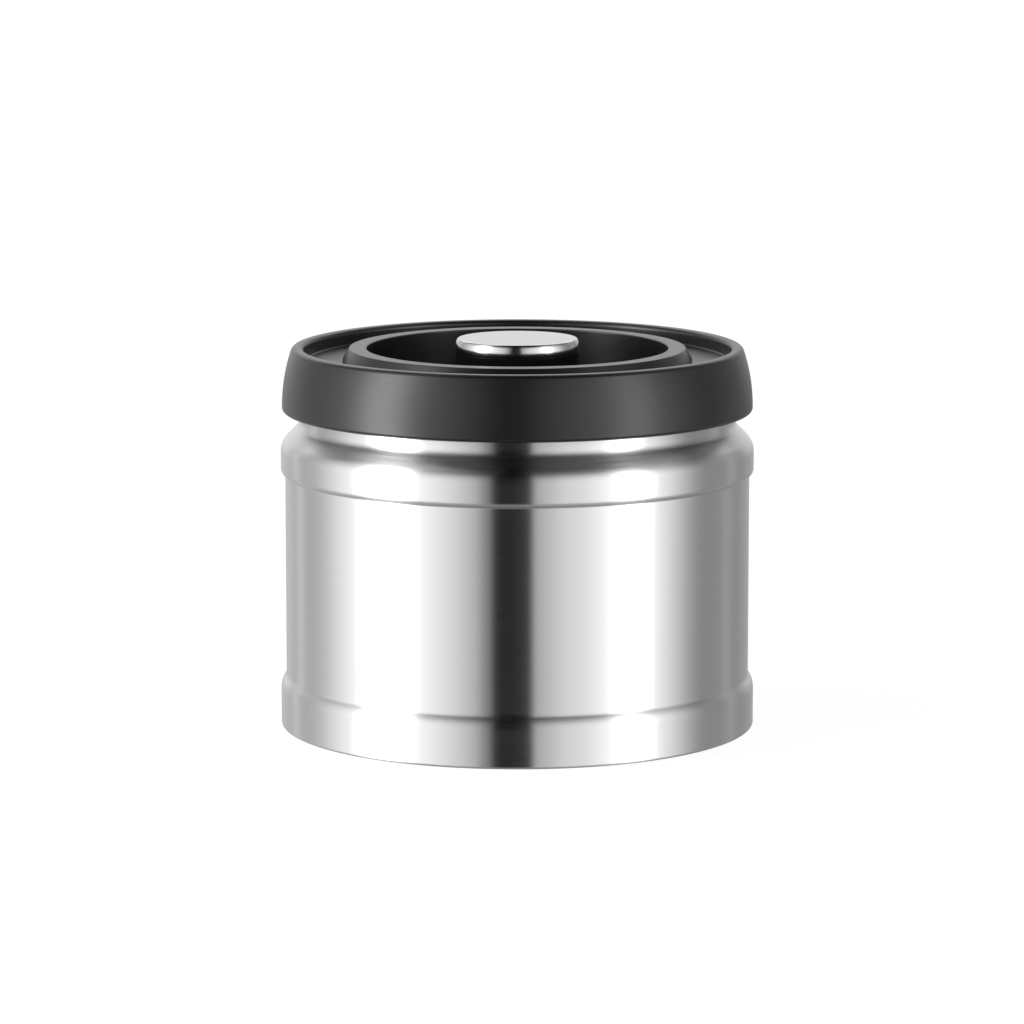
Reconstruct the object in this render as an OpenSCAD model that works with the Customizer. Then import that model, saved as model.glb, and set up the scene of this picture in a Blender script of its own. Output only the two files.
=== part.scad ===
// Vacuum seal canister: a steel body under a black lid with a push pump in the middle.
// The origin is the middle of the foot, on the table, and +Z is up. Sizes are millimetres.

/* [Canister body] */
// How far the foot band stands out from the waist
foot_step = 1.35; // [0.8:0.05:1.8]
// Height of the foot band, up to the waist
foot_h = 13.9; // [10:0.1:20]
// How far the collar stands out from the waist
collar_step = 1.1; // [0.8:0.1:1.5]
// Height of the collar, from the waist to the neck
collar_h = 13; // [12:0.2:18]
// How far the neck stands in from the collar
neck_step = 4.85; // [4:0.05:6]
// Height of the neck, from the collar to the rim
neck_h = 12.35; // [11.35:0.1:14.85]
// Height of the rim above the table
rim_h = 90; // [84:1:150]
// Thickness of the steel sheet
shell_wall = 0.6; // [0.5:0.05:0.9]
// Depth of the hem folded out at the rim
hem_h = 3; // [2:0.5:4]
// Rise of the pressed panel in the base
panel_rise = 2; // [1:0.5:4]

/* [Lid] */
// Height of the neck that shows under the lid
lid_gap = 3.35; // [2.35:0.1:4.35]
// Thickness of the main gasket over the rim
gasket_t = 1.4; // [1:0.1:2]
// Thickness of the channel floor and the well floor
lid_t = 2; // [1.6:0.1:2.6]
// Clearance between the hem and the top of the skirt
skirt_gap = 0.8; // [0.5:0.1:1.2]
// Thickness of the skirt at its lower edge
skirt_wall = 2.1; // [1.6:0.1:2.6]
// Radius of the crown of the skirt, seen from the side
side_crown_r = 45; // [40:1:80]
// Height of the rim above the channel floor
rim_rise = 3.95; // [3:0.05:5]
// Width of the rim at the channel floor
rim_w = 4.25; // [4.1:0.05:5.2]
// Inner diameter of the finger well, from which the lid and the body are built outwards
well_d = 76.8; // [70:0.4:90]
// Width of the channel between the grip ring and the rim
channel_w = 9.42; // [8:0.02:12]
// Depth of the finger well below the top of the grip ring
well_depth = 11; // [9:0.5:13]
// Height of the grip ring above the channel floor
ring_rise = 3.66; // [2.8:0.02:4.6]
// Width of the flat top of the grip ring
ring_top_w = 4.4; // [3.6:0.1:5.2]
// How far the grip ring's outer side spreads towards its foot
ring_slope_w = 2.1; // [1.4:0.1:2.6]
// Wall of the grip ring and of its sleeve
ring_wall = 1.4; // [1.2:0.1:1.6]
// Thickness of the gasket's lip
lip_t = 1.2; // [0.9:0.1:1.5]
// Thickness of the underside cover
cover_t = 1.6; // [1.2:0.1:2.4]

/* [Button and pump] */
// Diameter of the push button
button_d = 31.7; // [30:0.1:34]
// How far the button stands above the grip ring
button_proud = 2.3; // [1.5:0.1:4]
// Travel of the button
button_travel = 9; // [6:0.5:10]
// Height of the metal cap's side
cap_h = 3.4; // [3:0.1:5]
// Thickness of the metal cap
cap_wall = 0.8; // [0.5:0.1:1]
// Wall of the button's body
button_wall = 1.8; // [1.4:0.1:2.2]
// Clearance round the button in the well floor
bore_gap = 0.3; // [0.2:0.05:0.4]
// How far the piston's stop reaches under the well floor
stop_step = 1.05; // [0.8:0.05:1.6]
// Thickness of the piston's crown
crown_t = 2; // [1.6:0.1:2.6]
// Height of the groove for the piston's seal
seal_h = 2.8; // [2.2:0.1:3.6]
// Wall of the pump cylinder
tube_wall = 1.8; // [1.5:0.1:2.4]
// Thickness of the pump cylinder's floor
pump_floor_t = 2; // [1.6:0.1:3]
// Wire diameter of the return spring
wire_d = 0.9; // [0.7:0.1:1.1]
// Radius of the inlet valve's flap
inlet_flap_r = 7; // [6:0.2:8]
// Radius of the release valve's head
release_head_r = 4.8; // [4:0.1:5.4]
// Lift of the release valve
release_lift = 3; // [2:0.5:4]

/* [Hidden] */
$fn = 96;
// Points in each rounded stretch of an outline
arc_steps = 8;
// How far a cut runs past a face, and how far joined solids run into each other
overrun = 0.5;

// Body: heights, and the rounding of its edges
foot_ease_h = 4.4;
collar_ease_h = 1.8;
foot_convex_share = 0.7;
collar_convex_share = 0.8;
shoulder_r = 5;
shoulder_a = 45;
neck_fillet = 3;
bend_in_r = 0.2;
foot_flange_w = 4.8;
rim_round = 0.4;
crease_z = rim_h - neck_h;
collar_z = crease_z - collar_h;
shoulder_run = neck_step - shoulder_r * (1 - cos(shoulder_a));
shoulder_z = crease_z - shoulder_run / tan(shoulder_a) - shoulder_r * sin(shoulder_a);
foot_bend_r = bend_in_r + shell_wall;

// Lid: heights
skirt_z = crease_z + lid_gap;
under_z = rim_h + gasket_t;
channel_z = under_z + lid_t;
rim_top = channel_z + rim_rise;
ring_top = channel_z + ring_rise;
well_z = ring_top - well_depth;
well_under = well_z - lid_t;

// Lid: radii, from the well outwards
skirt_draft = 1;
skirt_edge_r = 1.1;
rim_out_round = 1.5;
rim_in_round = 1.3;
rim_lean = 0.1;
channel_fillet = 0.5;
well_wall = 1.8;
well_round = 1;
seat_gap = 0.2;
bore_chamfer = 0.4;
well_r = well_d / 2;
liner_r = well_r + ring_wall + seat_gap;
well_out_r = liner_r + well_wall;
ring_base_r = well_r + ring_top_w + ring_slope_w;
channel_r = ring_base_r + channel_w;
crown_z0 = skirt_z + skirt_edge_r;
crown_x = channel_r + rim_w - sqrt(pow(side_crown_r, 2) - pow(channel_z - crown_z0, 2));
lid_r = crown_x + side_crown_r;
rim_round_z = rim_top - rim_out_round;
rim_a = asin((rim_round_z - crown_z0) / (side_crown_r - rim_out_round));
rim_round_x = crown_x + (side_crown_r - rim_out_round) * cos(rim_a);
skirt_top_in = lid_r - skirt_wall - skirt_draft;

// Body: radii, from the lid's skirt inwards to the neck and down to the foot
hem_r = skirt_top_in - skirt_gap;
neck_r = hem_r - shell_wall;
mouth_r = neck_r - shell_wall;
collar_r = neck_r + neck_step;
waist_r = collar_r - collar_step;
foot_r = waist_r + foot_step;

// Base: a pressed disc that sits on the shell's foot flange
base_gap = 0.3;
base_flange_h = 4;
base_bend_r = 1;
panel_margin = 7;
panel_a = 50;
base_r = foot_r - shell_wall - base_gap;
panel_bend_r = panel_rise / (2 * (1 - cos(panel_a)));
panel_low_r = base_r - panel_margin;
panel_top_r = panel_low_r - 2 * panel_bend_r * sin(panel_a);

// Grip ring: its section and its pegs
ring_edge_r = 0.35;
ring_foot_r = 0.5;
peg_r = 1.1;
peg_h = 1.2;
peg_gap = 0.1;
peg_spare = 0.2;
pegs = 6;
ring_a = atan(ring_slope_w / ring_rise);
ring_foot_x = ring_base_r - ring_foot_r * (1 + sin(ring_a)) / cos(ring_a);
ring_edge_x = well_r + ring_top_w - ring_edge_r * (1 - sin(ring_a)) / cos(ring_a);
hollow_foot_r = ring_base_r - ring_wall / cos(ring_a);
hollow_top_r = hollow_foot_r - (ring_rise - ring_wall) * tan(ring_a);
peg_circle_r = (well_r + ring_wall + hollow_foot_r) / 2;

// Screws: pan heads with a cross recess
m3_head_r = 2.7;
m3_head_h = 1.8;
m3_shank_r = 1.4;
m3_length = 7.6;
m2_head_r = 2;
m2_head_h = 1.4;
m2_shank_r = 1.1;
m2_length = 7;
thread_gap = 0.05;
pass_gap = 0.2;
boss_r = 3;
boss_spare = 0.6;
head_flat_share = 0.62;
recess_w_share = 0.22;
recess_l_share = 1.1;
recess_h_share = 0.55;
tip_share = 0.5;

// Underside cover and main gasket
lip_gap = 0.3;
lip_h = 2.4;
lip_round = 0.3;
gasket_over = 0.3;
cover_wall = 2;
cover_bend_r = 3;
cover_gap = 2.8;
cover_lip_w = 1.4;
cover_lip_h = 1.6;
cover_clear = 0.5;
cover_screw_count = 6;
lip_out_r = mouth_r - lip_gap;
lip_in_r = lip_out_r - lip_t;
cover_r = lip_in_r - lip_gap;
cover_in_r = cover_r - cover_wall;
cover_top = well_under - cover_gap;
cover_z = cover_top - cover_t;
cover_screw_r = (well_out_r + cover_in_r) / 2;

// Button and piston: heights from the top down
cap_edge_w = 0.9;
cap_edge_h = 2.6;
cap_fit = 0.05;
button_top_t = 2;
stop_gap = 0.2;
spigot_gap = 0.15;
spigot_w = 1.5;
spigot_h = 2.6;
notch_w = 3;
notch_h = 1;
notches = 4;
skirt_ring_t = 1.2;
groove_d = 2.6;
core_wall = 1.4;
end_gap = 1.5;
seal_fit = 0.05;
seal_run = 0.1;
lip_foot_share = 0.34;
lip_notch_share = 0.45;
button_r = button_d / 2;
button_bore_r = button_r + bore_gap;
button_in_r = button_r - button_wall;
button_top = ring_top + button_proud;
cap_z = button_top - cap_h;
cap_in_r = button_r - cap_wall;
stop_z = well_under - stop_gap;
crown_z = stop_z - crown_t;
groove_z = crown_z - seal_h;
piston_z = groove_z - skirt_ring_t;
piston_r = button_bore_r + stop_step;
core_r = piston_r - groove_d;
hollow_r = core_r - core_wall;

// Pump cylinder, its seal and its guard
piston_gap = 0.3;
oring_d = 1.8;
oring_fit = 0.05;
oring_step_h = 1.6;
collar_wall = 1.6;
collar_fit = 0.15;
collar_h_in = 3.6;
lug_gap = 0.7;
lug_t = 2;
lug_boss_h = 6.5;
lug_edge = 0.4;
lug_w = 6;
lug_disc_gap = 0.3;
lugs = 4;
lug_turn = 45;
socket_h = 2.6;
socket_wall = 2.3;
guard_fit = 0.1;
guard_wall = 1.4;
guard_room = 3.6;
guard_t = 1.2;
guard_hole_r = 0.9;
guard_rows = 3;
guard_first_row = 6;
filter_t = 0.6;
pump_z = piston_z - button_travel - end_gap;
pump_under = pump_z - pump_floor_t;
pump_bore_r = piston_r + piston_gap;
tube_r = pump_bore_r + tube_wall;
oring_room = oring_d + 2 * oring_fit;
oring_x = tube_r + oring_room / 2;
collar_in_r = tube_r + oring_room;
collar_out_r = collar_in_r + collar_wall;
oring_step_z = well_under - oring_room;
lug_circle_r = collar_out_r + lug_gap + boss_r;
lug_z = well_under - lug_boss_h;
cover_hole_r = lug_circle_r + boss_r + cover_clear;
socket_r = tube_r - socket_wall;
socket_z = pump_under - socket_h;
guard_r = socket_r - guard_fit;
guard_in_r = guard_r - guard_wall;
guard_top = pump_under - guard_room;
guard_row_step = guard_in_r / (guard_rows + 1);

// Umbrella valves
stem_r = 1.2;
stem_gap = 0.1;
bulb_r = 1.9;
bulb_h = 2.4;
bulb_neck_share = 0.35;
flap_edge_t = 0.5;
flap_t = 1.5;
flap_hub_share = 0.3;
ports = 6;
port_share = 0.22;
stem_hole_r = stem_r + stem_gap;
outlet_flap_r = 3.8;

// Return spring
spring_gap = 0.8;
spring_seat = 0.1;
spring_turns = 4;
closed_turns = 1;
closed_gap = 0.25;
turn_rings = 16;
wire_sides = 6;
spring_r = hollow_r - spring_gap - wire_d / 2;
spring_low = pump_z + spring_seat + wire_d / 2;
spring_high = crown_z - spring_seat - wire_d / 2;
closed_rise = wire_d + closed_gap;

// Piston screws: between the outlet valve and the spring
piston_screw_count = 3;
screw_clear = 0.4;
button_boss_r = 2.2;
piston_screw_r = spring_r - wire_d / 2 - screw_clear - m2_head_r;

// Release valve: a plug with a pull tab, behind the button
release_head_t = 1.2;
release_edge_t = 0.6;
release_stem_r = 1.8;
release_gap = 0.3;
release_bulb_r = 2.7;
release_bulb_h = 1.8;
release_spare = 0.3;
tab_w = 6.4;
tab_t = 1.8;
tab_h = 3.6;
tab_bar_r = 1.3;
slot_w = 1.2;
slot_l = 6.8;

// A round stretch of an outline, from angle a0 to a1 about (x, z)
function arc(x, z, r, a0, a1, n = arc_steps) =
    [for (i = [0:n]) let (a = a0 + (a1 - a0) * i / n) [x + r * cos(a), z + r * sin(a)]];

// A soft step between two radii is two arcs of one angle: that angle, and their radii together
function ease_a(step, h) = 2 * atan(step / h);
function ease_sum(step, h) = h / sin(ease_a(step, h));

// The body's outline at depth t below its outer face, from the foot flange up to the neck
function body_path(t) =
    let (fa = ease_a(foot_step, foot_ease_h), fs = ease_sum(foot_step, foot_ease_h))
    let (f1 = fs * foot_convex_share, f2 = fs - f1)
    let (ca = ease_a(collar_step, collar_ease_h), cs = ease_sum(collar_step, collar_ease_h))
    let (c1 = cs * collar_convex_share, c2 = cs - c1)
    let (nz = crease_z + neck_fillet * tan(shoulder_a / 2))
    concat(
        [[foot_r - foot_flange_w, t]],
        arc(foot_r - foot_bend_r, foot_bend_r, foot_bend_r - t, -90, 0),
        arc(foot_r - f1, foot_h - foot_ease_h, f1 - t, 0, fa),
        arc(waist_r + f2, foot_h, f2 + t, 180 + fa, 180),
        arc(waist_r + c2, collar_z, c2 + t, 180, 180 - ca),
        arc(collar_r - c1, collar_z + collar_ease_h, c1 - t, -ca, 0),
        arc(collar_r - shoulder_r, shoulder_z, shoulder_r - t, 0, shoulder_a),
        arc(neck_r + neck_fillet, nz, neck_fillet + t, 180 + shoulder_a, 180)
    );

function reversed(list) = [for (i = [len(list) - 1:-1:0]) list[i]];

// Steel body: the sheet turns in at the foot and folds out into a hem at the rim
module body_shell() {
    color("silver") rotate_extrude() polygon(concat(
        body_path(0),
        [[neck_r, rim_h - hem_h], [hem_r, rim_h - hem_h]],
        arc(hem_r - rim_round, rim_h - rim_round, rim_round, 0, 90),
        arc(mouth_r + rim_round, rim_h - rim_round, rim_round, 90, 180),
        reversed(body_path(shell_wall))
    ));
}

// The base's outline at height t above its lower face, from its flange in to the middle
function base_path(t) = concat(
    [[base_r - t, shell_wall + base_flange_h]],
    arc(base_r - base_bend_r, shell_wall + base_bend_r, base_bend_r - t, 0, -90),
    arc(panel_low_r, shell_wall + panel_bend_r, panel_bend_r - t, -90, -90 - panel_a),
    arc(panel_top_r, shell_wall + panel_rise - panel_bend_r, panel_bend_r + t, 90 - panel_a, 90),
    [[0, shell_wall + panel_rise + t]]
);

// Pressed base: a flange welded inside the foot, and a raised panel
module base_disc() {
    color("silver") rotate_extrude() polygon(concat(base_path(0), reversed(base_path(shell_wall))));
}

// Places its children count times round the axis at radius r, the first at angle turn
module round_axis(count, r, turn = 0) {
    for (i = [0:count - 1]) rotate([0, 0, turn + 360 * i / count]) translate([r, 0, 0]) children();
}

// Blind hole for a screw, from a boss's lower end at z
module screw_socket(z, shank_r, depth) {
    translate([0, 0, z - overrun]) cylinder(h = depth + overrun, r = shank_r + thread_gap);
}

lid_section = concat(
    [
        [button_bore_r, well_under],
        [button_bore_r, well_z - bore_chamfer],
        [button_bore_r + bore_chamfer, well_z],
        [liner_r, well_z],
        [liner_r, channel_z]
    ],
    arc(channel_r - channel_fillet, channel_z + channel_fillet, channel_fillet, -90, 0),
    arc(channel_r + rim_lean + rim_in_round, rim_top - rim_in_round, rim_in_round, 180, 90),
    arc(rim_round_x, rim_round_z, rim_out_round, 90, rim_a),
    arc(crown_x, crown_z0, side_crown_r, rim_a, 0, 2 * arc_steps),
    arc(lid_r - skirt_edge_r, crown_z0, skirt_edge_r, 0, -90),
    [[lid_r - skirt_wall, skirt_z], [skirt_top_in, under_z], [well_out_r, under_z]],
    arc(well_out_r - well_round, well_under + well_round, well_round, 0, -90)
);

// Bosses and the seal collar that hang under the lid
module lid_bosses() {
    round_axis(cover_screw_count, cover_screw_r)
        translate([0, 0, cover_top]) cylinder(h = under_z - cover_top + overrun, r = boss_r);
    round_axis(lugs, lug_circle_r, lug_turn)
        translate([0, 0, lug_z]) cylinder(h = lug_boss_h + overrun, r = boss_r);
    translate([0, 0, well_under - collar_h_in]) difference() {
        cylinder(h = collar_h_in + overrun, r = collar_out_r);
        translate([0, 0, -overrun]) cylinder(h = collar_h_in + 3 * overrun, r = collar_in_r);
    }
}

// Hole for the release valve's stem, with a cross of air slots that its head covers
module release_port() {
    translate([0, lug_circle_r, well_under - overrun]) {
        cylinder(h = lid_t + 2 * overrun, r = release_stem_r + release_gap);
        for (a = [0, 90]) rotate([0, 0, a])
            translate([-slot_l / 2, -slot_w / 2, 0]) cube([slot_l, slot_w, lid_t + 2 * overrun]);
    }
}

// Black lid: crowned skirt, rounded rim, channel, and the well with the button's bore
module lid_shell() {
    color("#262627") difference() {
        union() {
            rotate_extrude() polygon(lid_section);
            lid_bosses();
        }
        round_axis(cover_screw_count, cover_screw_r)
            screw_socket(cover_top, m3_shank_r, m3_length - cover_t + boss_spare);
        round_axis(lugs, lug_circle_r, lug_turn)
            screw_socket(lug_z, m3_shank_r, m3_length - lug_t + boss_spare);
        round_axis(pegs, peg_circle_r) translate([0, 0, channel_z - peg_h - peg_spare])
            cylinder(h = peg_h + peg_spare + overrun, r = peg_r + peg_gap);
        release_port();
    }
}

ring_section = concat(
    arc(ring_foot_x, channel_z + ring_foot_r, ring_foot_r, -90, ring_a),
    arc(ring_edge_x, ring_top - ring_edge_r, ring_edge_r, ring_a, 90),
    arc(well_r + ring_edge_r, ring_top - ring_edge_r, ring_edge_r, 90, 180),
    [
        [well_r, well_z],
        [well_r + ring_wall, well_z],
        [well_r + ring_wall, ring_top - ring_wall],
        [hollow_top_r, ring_top - ring_wall],
        [hollow_foot_r, channel_z]
    ]
);

// Raised ring with a sleeve that lines the well, and pegs that locate it
module grip_ring() {
    color("#2b2b2c") union() {
        rotate_extrude() polygon(ring_section);
        round_axis(pegs, peg_circle_r) translate([0, 0, channel_z - peg_h])
            cylinder(h = ring_rise + peg_h - ring_wall + overrun, r = peg_r);
    }
}

cover_section = concat(
    [[cover_hole_r, cover_z]],
    arc(cover_r - cover_bend_r, cover_z + cover_bend_r, cover_bend_r, -90, 0),
    [
        [cover_r, rim_h],
        [cover_in_r, rim_h],
        [cover_in_r, cover_top],
        [cover_hole_r + cover_lip_w, cover_top],
        [cover_hole_r + cover_lip_w, cover_top + cover_lip_h],
        [cover_hole_r, cover_top + cover_lip_h]
    ]
);

// Cover under the lid: its rim clamps the gasket, and the pump hangs through its hole
module underside_cover() {
    color("#2f2f30") difference() {
        rotate_extrude() polygon(cover_section);
        round_axis(cover_screw_count, cover_screw_r) translate([0, 0, cover_z - overrun])
            cylinder(h = cover_t + 2 * overrun, r = m3_shank_r + pass_gap);
    }
}

// Silicone gasket: flat over the steel rim, with a lip that hangs inside the mouth
module main_gasket() {
    color("#d9d9d6") rotate_extrude() polygon(concat(
        [[cover_in_r, under_z], [cover_in_r, rim_h], [lip_in_r, rim_h]],
        arc(lip_in_r + lip_round, rim_h - lip_h + lip_round, lip_round, 180, 270),
        arc(lip_out_r - lip_round, rim_h - lip_h + lip_round, lip_round, -90, 0),
        [[lip_out_r, rim_h], [hem_r + gasket_over, rim_h], [hem_r + gasket_over, under_z]]
    ));
}

// Pan head screw that points up, its head below z = 0
module pan_screw(head_r, head_h, shank_r, length) {
    difference() {
        rotate_extrude() polygon([
            [0, -head_h],
            [head_r * head_flat_share, -head_h],
            [head_r, -head_h * head_flat_share],
            [head_r, 0],
            [shank_r, 0],
            [shank_r, length - shank_r],
            [shank_r * tip_share, length],
            [0, length]
        ]);
        for (a = [0, 90]) rotate([0, 0, a])
            translate([
                -head_r * recess_l_share / 2, -head_r * recess_w_share / 2, -head_h - overrun
            ])
                cube([
                    head_r * recess_l_share,
                    head_r * recess_w_share,
                    head_h * recess_h_share + overrun
                ]);
    }
}

// Screws that hold the underside cover to the lid
module cover_screws() {
    color("#b9bbbd") round_axis(cover_screw_count, cover_screw_r) translate([0, 0, cover_z])
        pan_screw(m3_head_r, m3_head_h, m3_shank_r, m3_length);
}

pump_section = [
    [0, pump_under],
    [socket_r, pump_under],
    [socket_r, socket_z],
    [tube_r, socket_z],
    [tube_r, lug_z - lug_t],
    [collar_out_r + lug_disc_gap, lug_z - lug_t],
    [collar_out_r + lug_disc_gap, lug_z],
    [tube_r, lug_z],
    [tube_r, oring_step_z - oring_step_h],
    [collar_in_r - collar_fit, oring_step_z - oring_step_h],
    [collar_in_r - collar_fit, oring_step_z],
    [tube_r, oring_step_z],
    [tube_r, well_under],
    [pump_bore_r, well_under],
    [pump_bore_r, pump_z],
    [0, pump_z]
];

// Holes for an umbrella valve: one for its stem, and a ring of air ports that its flap covers
module valve_holes(flap_r, depth) {
    cylinder(h = depth, r = stem_hole_r);
    round_axis(ports, (stem_hole_r + flap_r) / 2)
        cylinder(h = depth, r = (flap_r - stem_hole_r) * port_share);
}

// Ear of the pump cylinder that takes one screw
module pump_lug() {
    translate([0, 0, lug_z - lug_t]) {
        cylinder(h = lug_t, r = boss_r + lug_edge);
        translate([tube_r - lug_circle_r, -lug_w / 2, 0])
            cube([lug_circle_r - tube_r, lug_w, lug_t]);
    }
}

// Pump cylinder: tube, floor with air ports, ears, and a socket for the guard
module pump_cylinder() {
    color("#e4e4e1") difference() {
        union() {
            rotate_extrude() polygon(pump_section);
            round_axis(lugs, lug_circle_r, lug_turn) pump_lug();
        }
        round_axis(lugs, lug_circle_r, lug_turn) translate([0, 0, lug_z - lug_t - overrun])
            cylinder(h = lug_t + 2 * overrun, r = m3_shank_r + pass_gap);
        translate([0, 0, pump_under - overrun]) valve_holes(inlet_flap_r, pump_floor_t + 2 * overrun);
    }
}

// O-ring round the top of the pump cylinder
module cylinder_seal() {
    color("#3a3a3b") rotate_extrude()
        translate([oring_x, well_under - oring_room / 2]) circle(d = oring_d);
}

// Screws that hold the pump cylinder under the well
module cylinder_screws() {
    color("#b9bbbd") round_axis(lugs, lug_circle_r, lug_turn) translate([0, 0, lug_z - lug_t])
        pan_screw(m3_head_r, m3_head_h, m3_shank_r, m3_length);
}

// Umbrella valve on a plate whose top is z = 0: a flap above, a stem through it, a bulb below
module umbrella_valve(flap_r, plate_t) {
    rotate_extrude() polygon(concat(
        [
            [0, flap_t],
            [flap_r * flap_hub_share, flap_t],
            [flap_r, flap_edge_t],
            [flap_r, 0],
            [stem_r, 0],
            [stem_r, -plate_t],
            [bulb_r, -plate_t - bulb_h * bulb_neck_share]
        ],
        [[stem_r, -plate_t - bulb_h], [0, -plate_t - bulb_h]]
    ));
}

// One-way valve that lets air out of the food space into the pump
module inlet_valve() {
    color("#c9c9c6") translate([0, 0, pump_z]) umbrella_valve(inlet_flap_r, pump_floor_t);
}

// Thin filter disc that lies in the guard
module inlet_filter() {
    color("#f0efe9") translate([0, 0, guard_top]) cylinder(h = filter_t, r = guard_in_r - guard_fit);
}

// Perforated cap pressed into the foot of the pump cylinder
module inlet_guard() {
    color("#2f2f30") difference() {
        rotate_extrude() polygon([
            [0, guard_top - guard_t],
            [guard_r, guard_top - guard_t],
            [guard_r, pump_under],
            [guard_in_r, pump_under],
            [guard_in_r, guard_top],
            [0, guard_top]
        ]);
        translate([0, 0, guard_top - guard_t - overrun]) {
            cylinder(h = guard_t + 2 * overrun, r = guard_hole_r);
            for (row = [1:guard_rows]) round_axis(guard_first_row * row, row * guard_row_step)
                cylinder(h = guard_t + 2 * overrun, r = guard_hole_r);
        }
    }
}

// The cap's rounded edge is a quarter of an ellipse
cap_edge = [
    for (i = [0:arc_steps]) let (a = 90 - 90 * i / arc_steps)
        [
            button_r - cap_edge_w * (1 - cos(a)),
            button_top - cap_edge_h * (1 - sin(a))
        ]
];

// Bright metal cap pressed over the top of the button
module button_cap() {
    color("#dcdddf") rotate_extrude() polygon(concat(
        [[0, button_top]],
        cap_edge,
        [
            [button_r, cap_z],
            [cap_in_r, cap_z],
            [cap_in_r, button_top - cap_wall],
            [0, button_top - cap_wall]
        ]
    ));
}

// Black cylinder under the cap, with bosses for the piston's screws and air notches at its foot
module button_body() {
    inside_top = button_top - cap_wall - cap_fit - button_top_t;
    color("#1d1d1e") difference() {
        union() {
            rotate_extrude() polygon([
                [button_in_r, stop_z],
                [button_r, stop_z],
                [button_r, cap_z],
                [cap_in_r - cap_fit, cap_z],
                [cap_in_r - cap_fit, button_top - cap_wall - cap_fit],
                [0, button_top - cap_wall - cap_fit],
                [0, inside_top],
                [button_in_r, inside_top]
            ]);
            round_axis(piston_screw_count, piston_screw_r) translate([0, 0, stop_z])
                cylinder(h = inside_top - stop_z + overrun, r = button_boss_r);
        }
        round_axis(piston_screw_count, piston_screw_r)
            screw_socket(stop_z, m2_shank_r, m2_length - crown_t + boss_spare);
        round_axis(notches, button_r) translate([-button_wall - overrun, -notch_w / 2, stop_z - overrun])
            cube([button_wall + 2 * overrun, notch_w, notch_h + overrun]);
    }
}

piston_section = [
    [0, crown_z],
    [hollow_r, crown_z],
    [hollow_r, piston_z],
    [piston_r, piston_z],
    [piston_r, groove_z],
    [core_r, groove_z],
    [core_r, crown_z],
    [piston_r, crown_z],
    [piston_r, stop_z],
    [button_in_r - spigot_gap, stop_z],
    [button_in_r - spigot_gap, stop_z + spigot_h],
    [button_in_r - spigot_gap - spigot_w, stop_z + spigot_h],
    [button_in_r - spigot_gap - spigot_w, stop_z],
    [0, stop_z]
];

// Piston: crown with air ports, a stop that meets the well floor, and a groove for the seal
module piston() {
    color("#e4e4e1") difference() {
        rotate_extrude() polygon(piston_section);
        translate([0, 0, crown_z - overrun]) {
            valve_holes(outlet_flap_r, crown_t + 2 * overrun);
            round_axis(piston_screw_count, piston_screw_r)
                cylinder(h = crown_t + 2 * overrun, r = m2_shank_r + pass_gap);
        }
    }
}

// Lip seal in the piston's groove: its lower side is notched so that pressure spreads the lip
module piston_seal() {
    low = groove_z + seal_fit;
    high = crown_z - seal_fit;
    inner = core_r + seal_fit;
    outer = pump_bore_r - seal_run;
    color("#3a3a3b") rotate_extrude() polygon([
        [inner, low],
        [inner + (outer - inner) * lip_foot_share, low],
        [(inner + outer) / 2, low + (high - low) * lip_notch_share],
        [outer - (outer - inner) * lip_foot_share, low],
        [outer, low],
        [outer, (low + high) / 2],
        [outer - seal_run, high],
        [inner, high]
    ]);
}

// One-way valve that lets air out of the pump on the way down
module outlet_valve() {
    color("#c9c9c6") translate([0, 0, stop_z]) umbrella_valve(outlet_flap_r, crown_t);
}

// Screws that join the piston to the button
module piston_screws() {
    color("#b9bbbd") round_axis(piston_screw_count, piston_screw_r) translate([0, 0, crown_z])
        pan_screw(m2_head_r, m2_head_h, m2_shank_r, m2_length);
}

// Height of the spring's wire after the given number of turns: closed ends, open coils between
function spring_z(turn) =
    let (open_turns = spring_turns - 2 * closed_turns)
    let (open_rise = (spring_high - spring_low - 2 * closed_turns * closed_rise) / open_turns)
    spring_low
    + closed_rise * min(turn, closed_turns)
    + open_rise * max(0, min(turn - closed_turns, open_turns))
    + closed_rise * max(0, turn - closed_turns - open_turns);

// Return spring: one tube of wire swept along a helix
module return_spring() {
    rings = spring_turns * turn_rings;
    points = [
        for (i = [0:rings]) let (a = 360 * i / turn_rings, z = spring_z(i / turn_rings))
            for (j = [0:wire_sides - 1])
                let (b = 360 * j / wire_sides, r = spring_r + wire_d / 2 * cos(b))
                [r * cos(a), r * sin(a), z + wire_d / 2 * sin(b)]
    ];
    sides = [
        for (i = [0:rings - 1], j = [0:wire_sides - 1])
            let (k = (j + 1) % wire_sides, p = i * wire_sides, q = p + wire_sides)
            each [[p + j, q + k, p + k], [p + j, q + j, q + k]]
    ];
    last = rings * wire_sides;
    ends = [
        for (j = [1:wire_sides - 2]) each [[0, j, j + 1], [last, last + j + 1, last + j]]
    ];
    color("#c7c9cc") polyhedron(points = points, faces = concat(sides, ends));
}

// Silicone plug with a pull tab: it lifts until its bulb meets the well floor
module release_valve() {
    bulb_z = well_under - release_lift - release_spare;
    color("#8f9091") translate([0, lug_circle_r, 0]) union() {
        rotate_extrude() polygon([
            [0, well_z + release_head_t],
            [release_head_r - release_edge_t, well_z + release_head_t],
            [release_head_r, well_z + release_edge_t],
            [release_head_r, well_z],
            [release_stem_r, well_z],
            [release_stem_r, bulb_z],
            [release_bulb_r, bulb_z],
            [release_stem_r, bulb_z - release_bulb_h],
            [0, bulb_z - release_bulb_h]
        ]);
        translate([-tab_w / 2, -tab_t / 2, well_z + release_head_t - overrun])
            cube([tab_w, tab_t, tab_h + overrun]);
        translate([-tab_w / 2, 0, well_z + release_head_t + tab_h]) rotate([0, 90, 0])
            cylinder(h = tab_w, r = tab_bar_r);
    }
}

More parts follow.
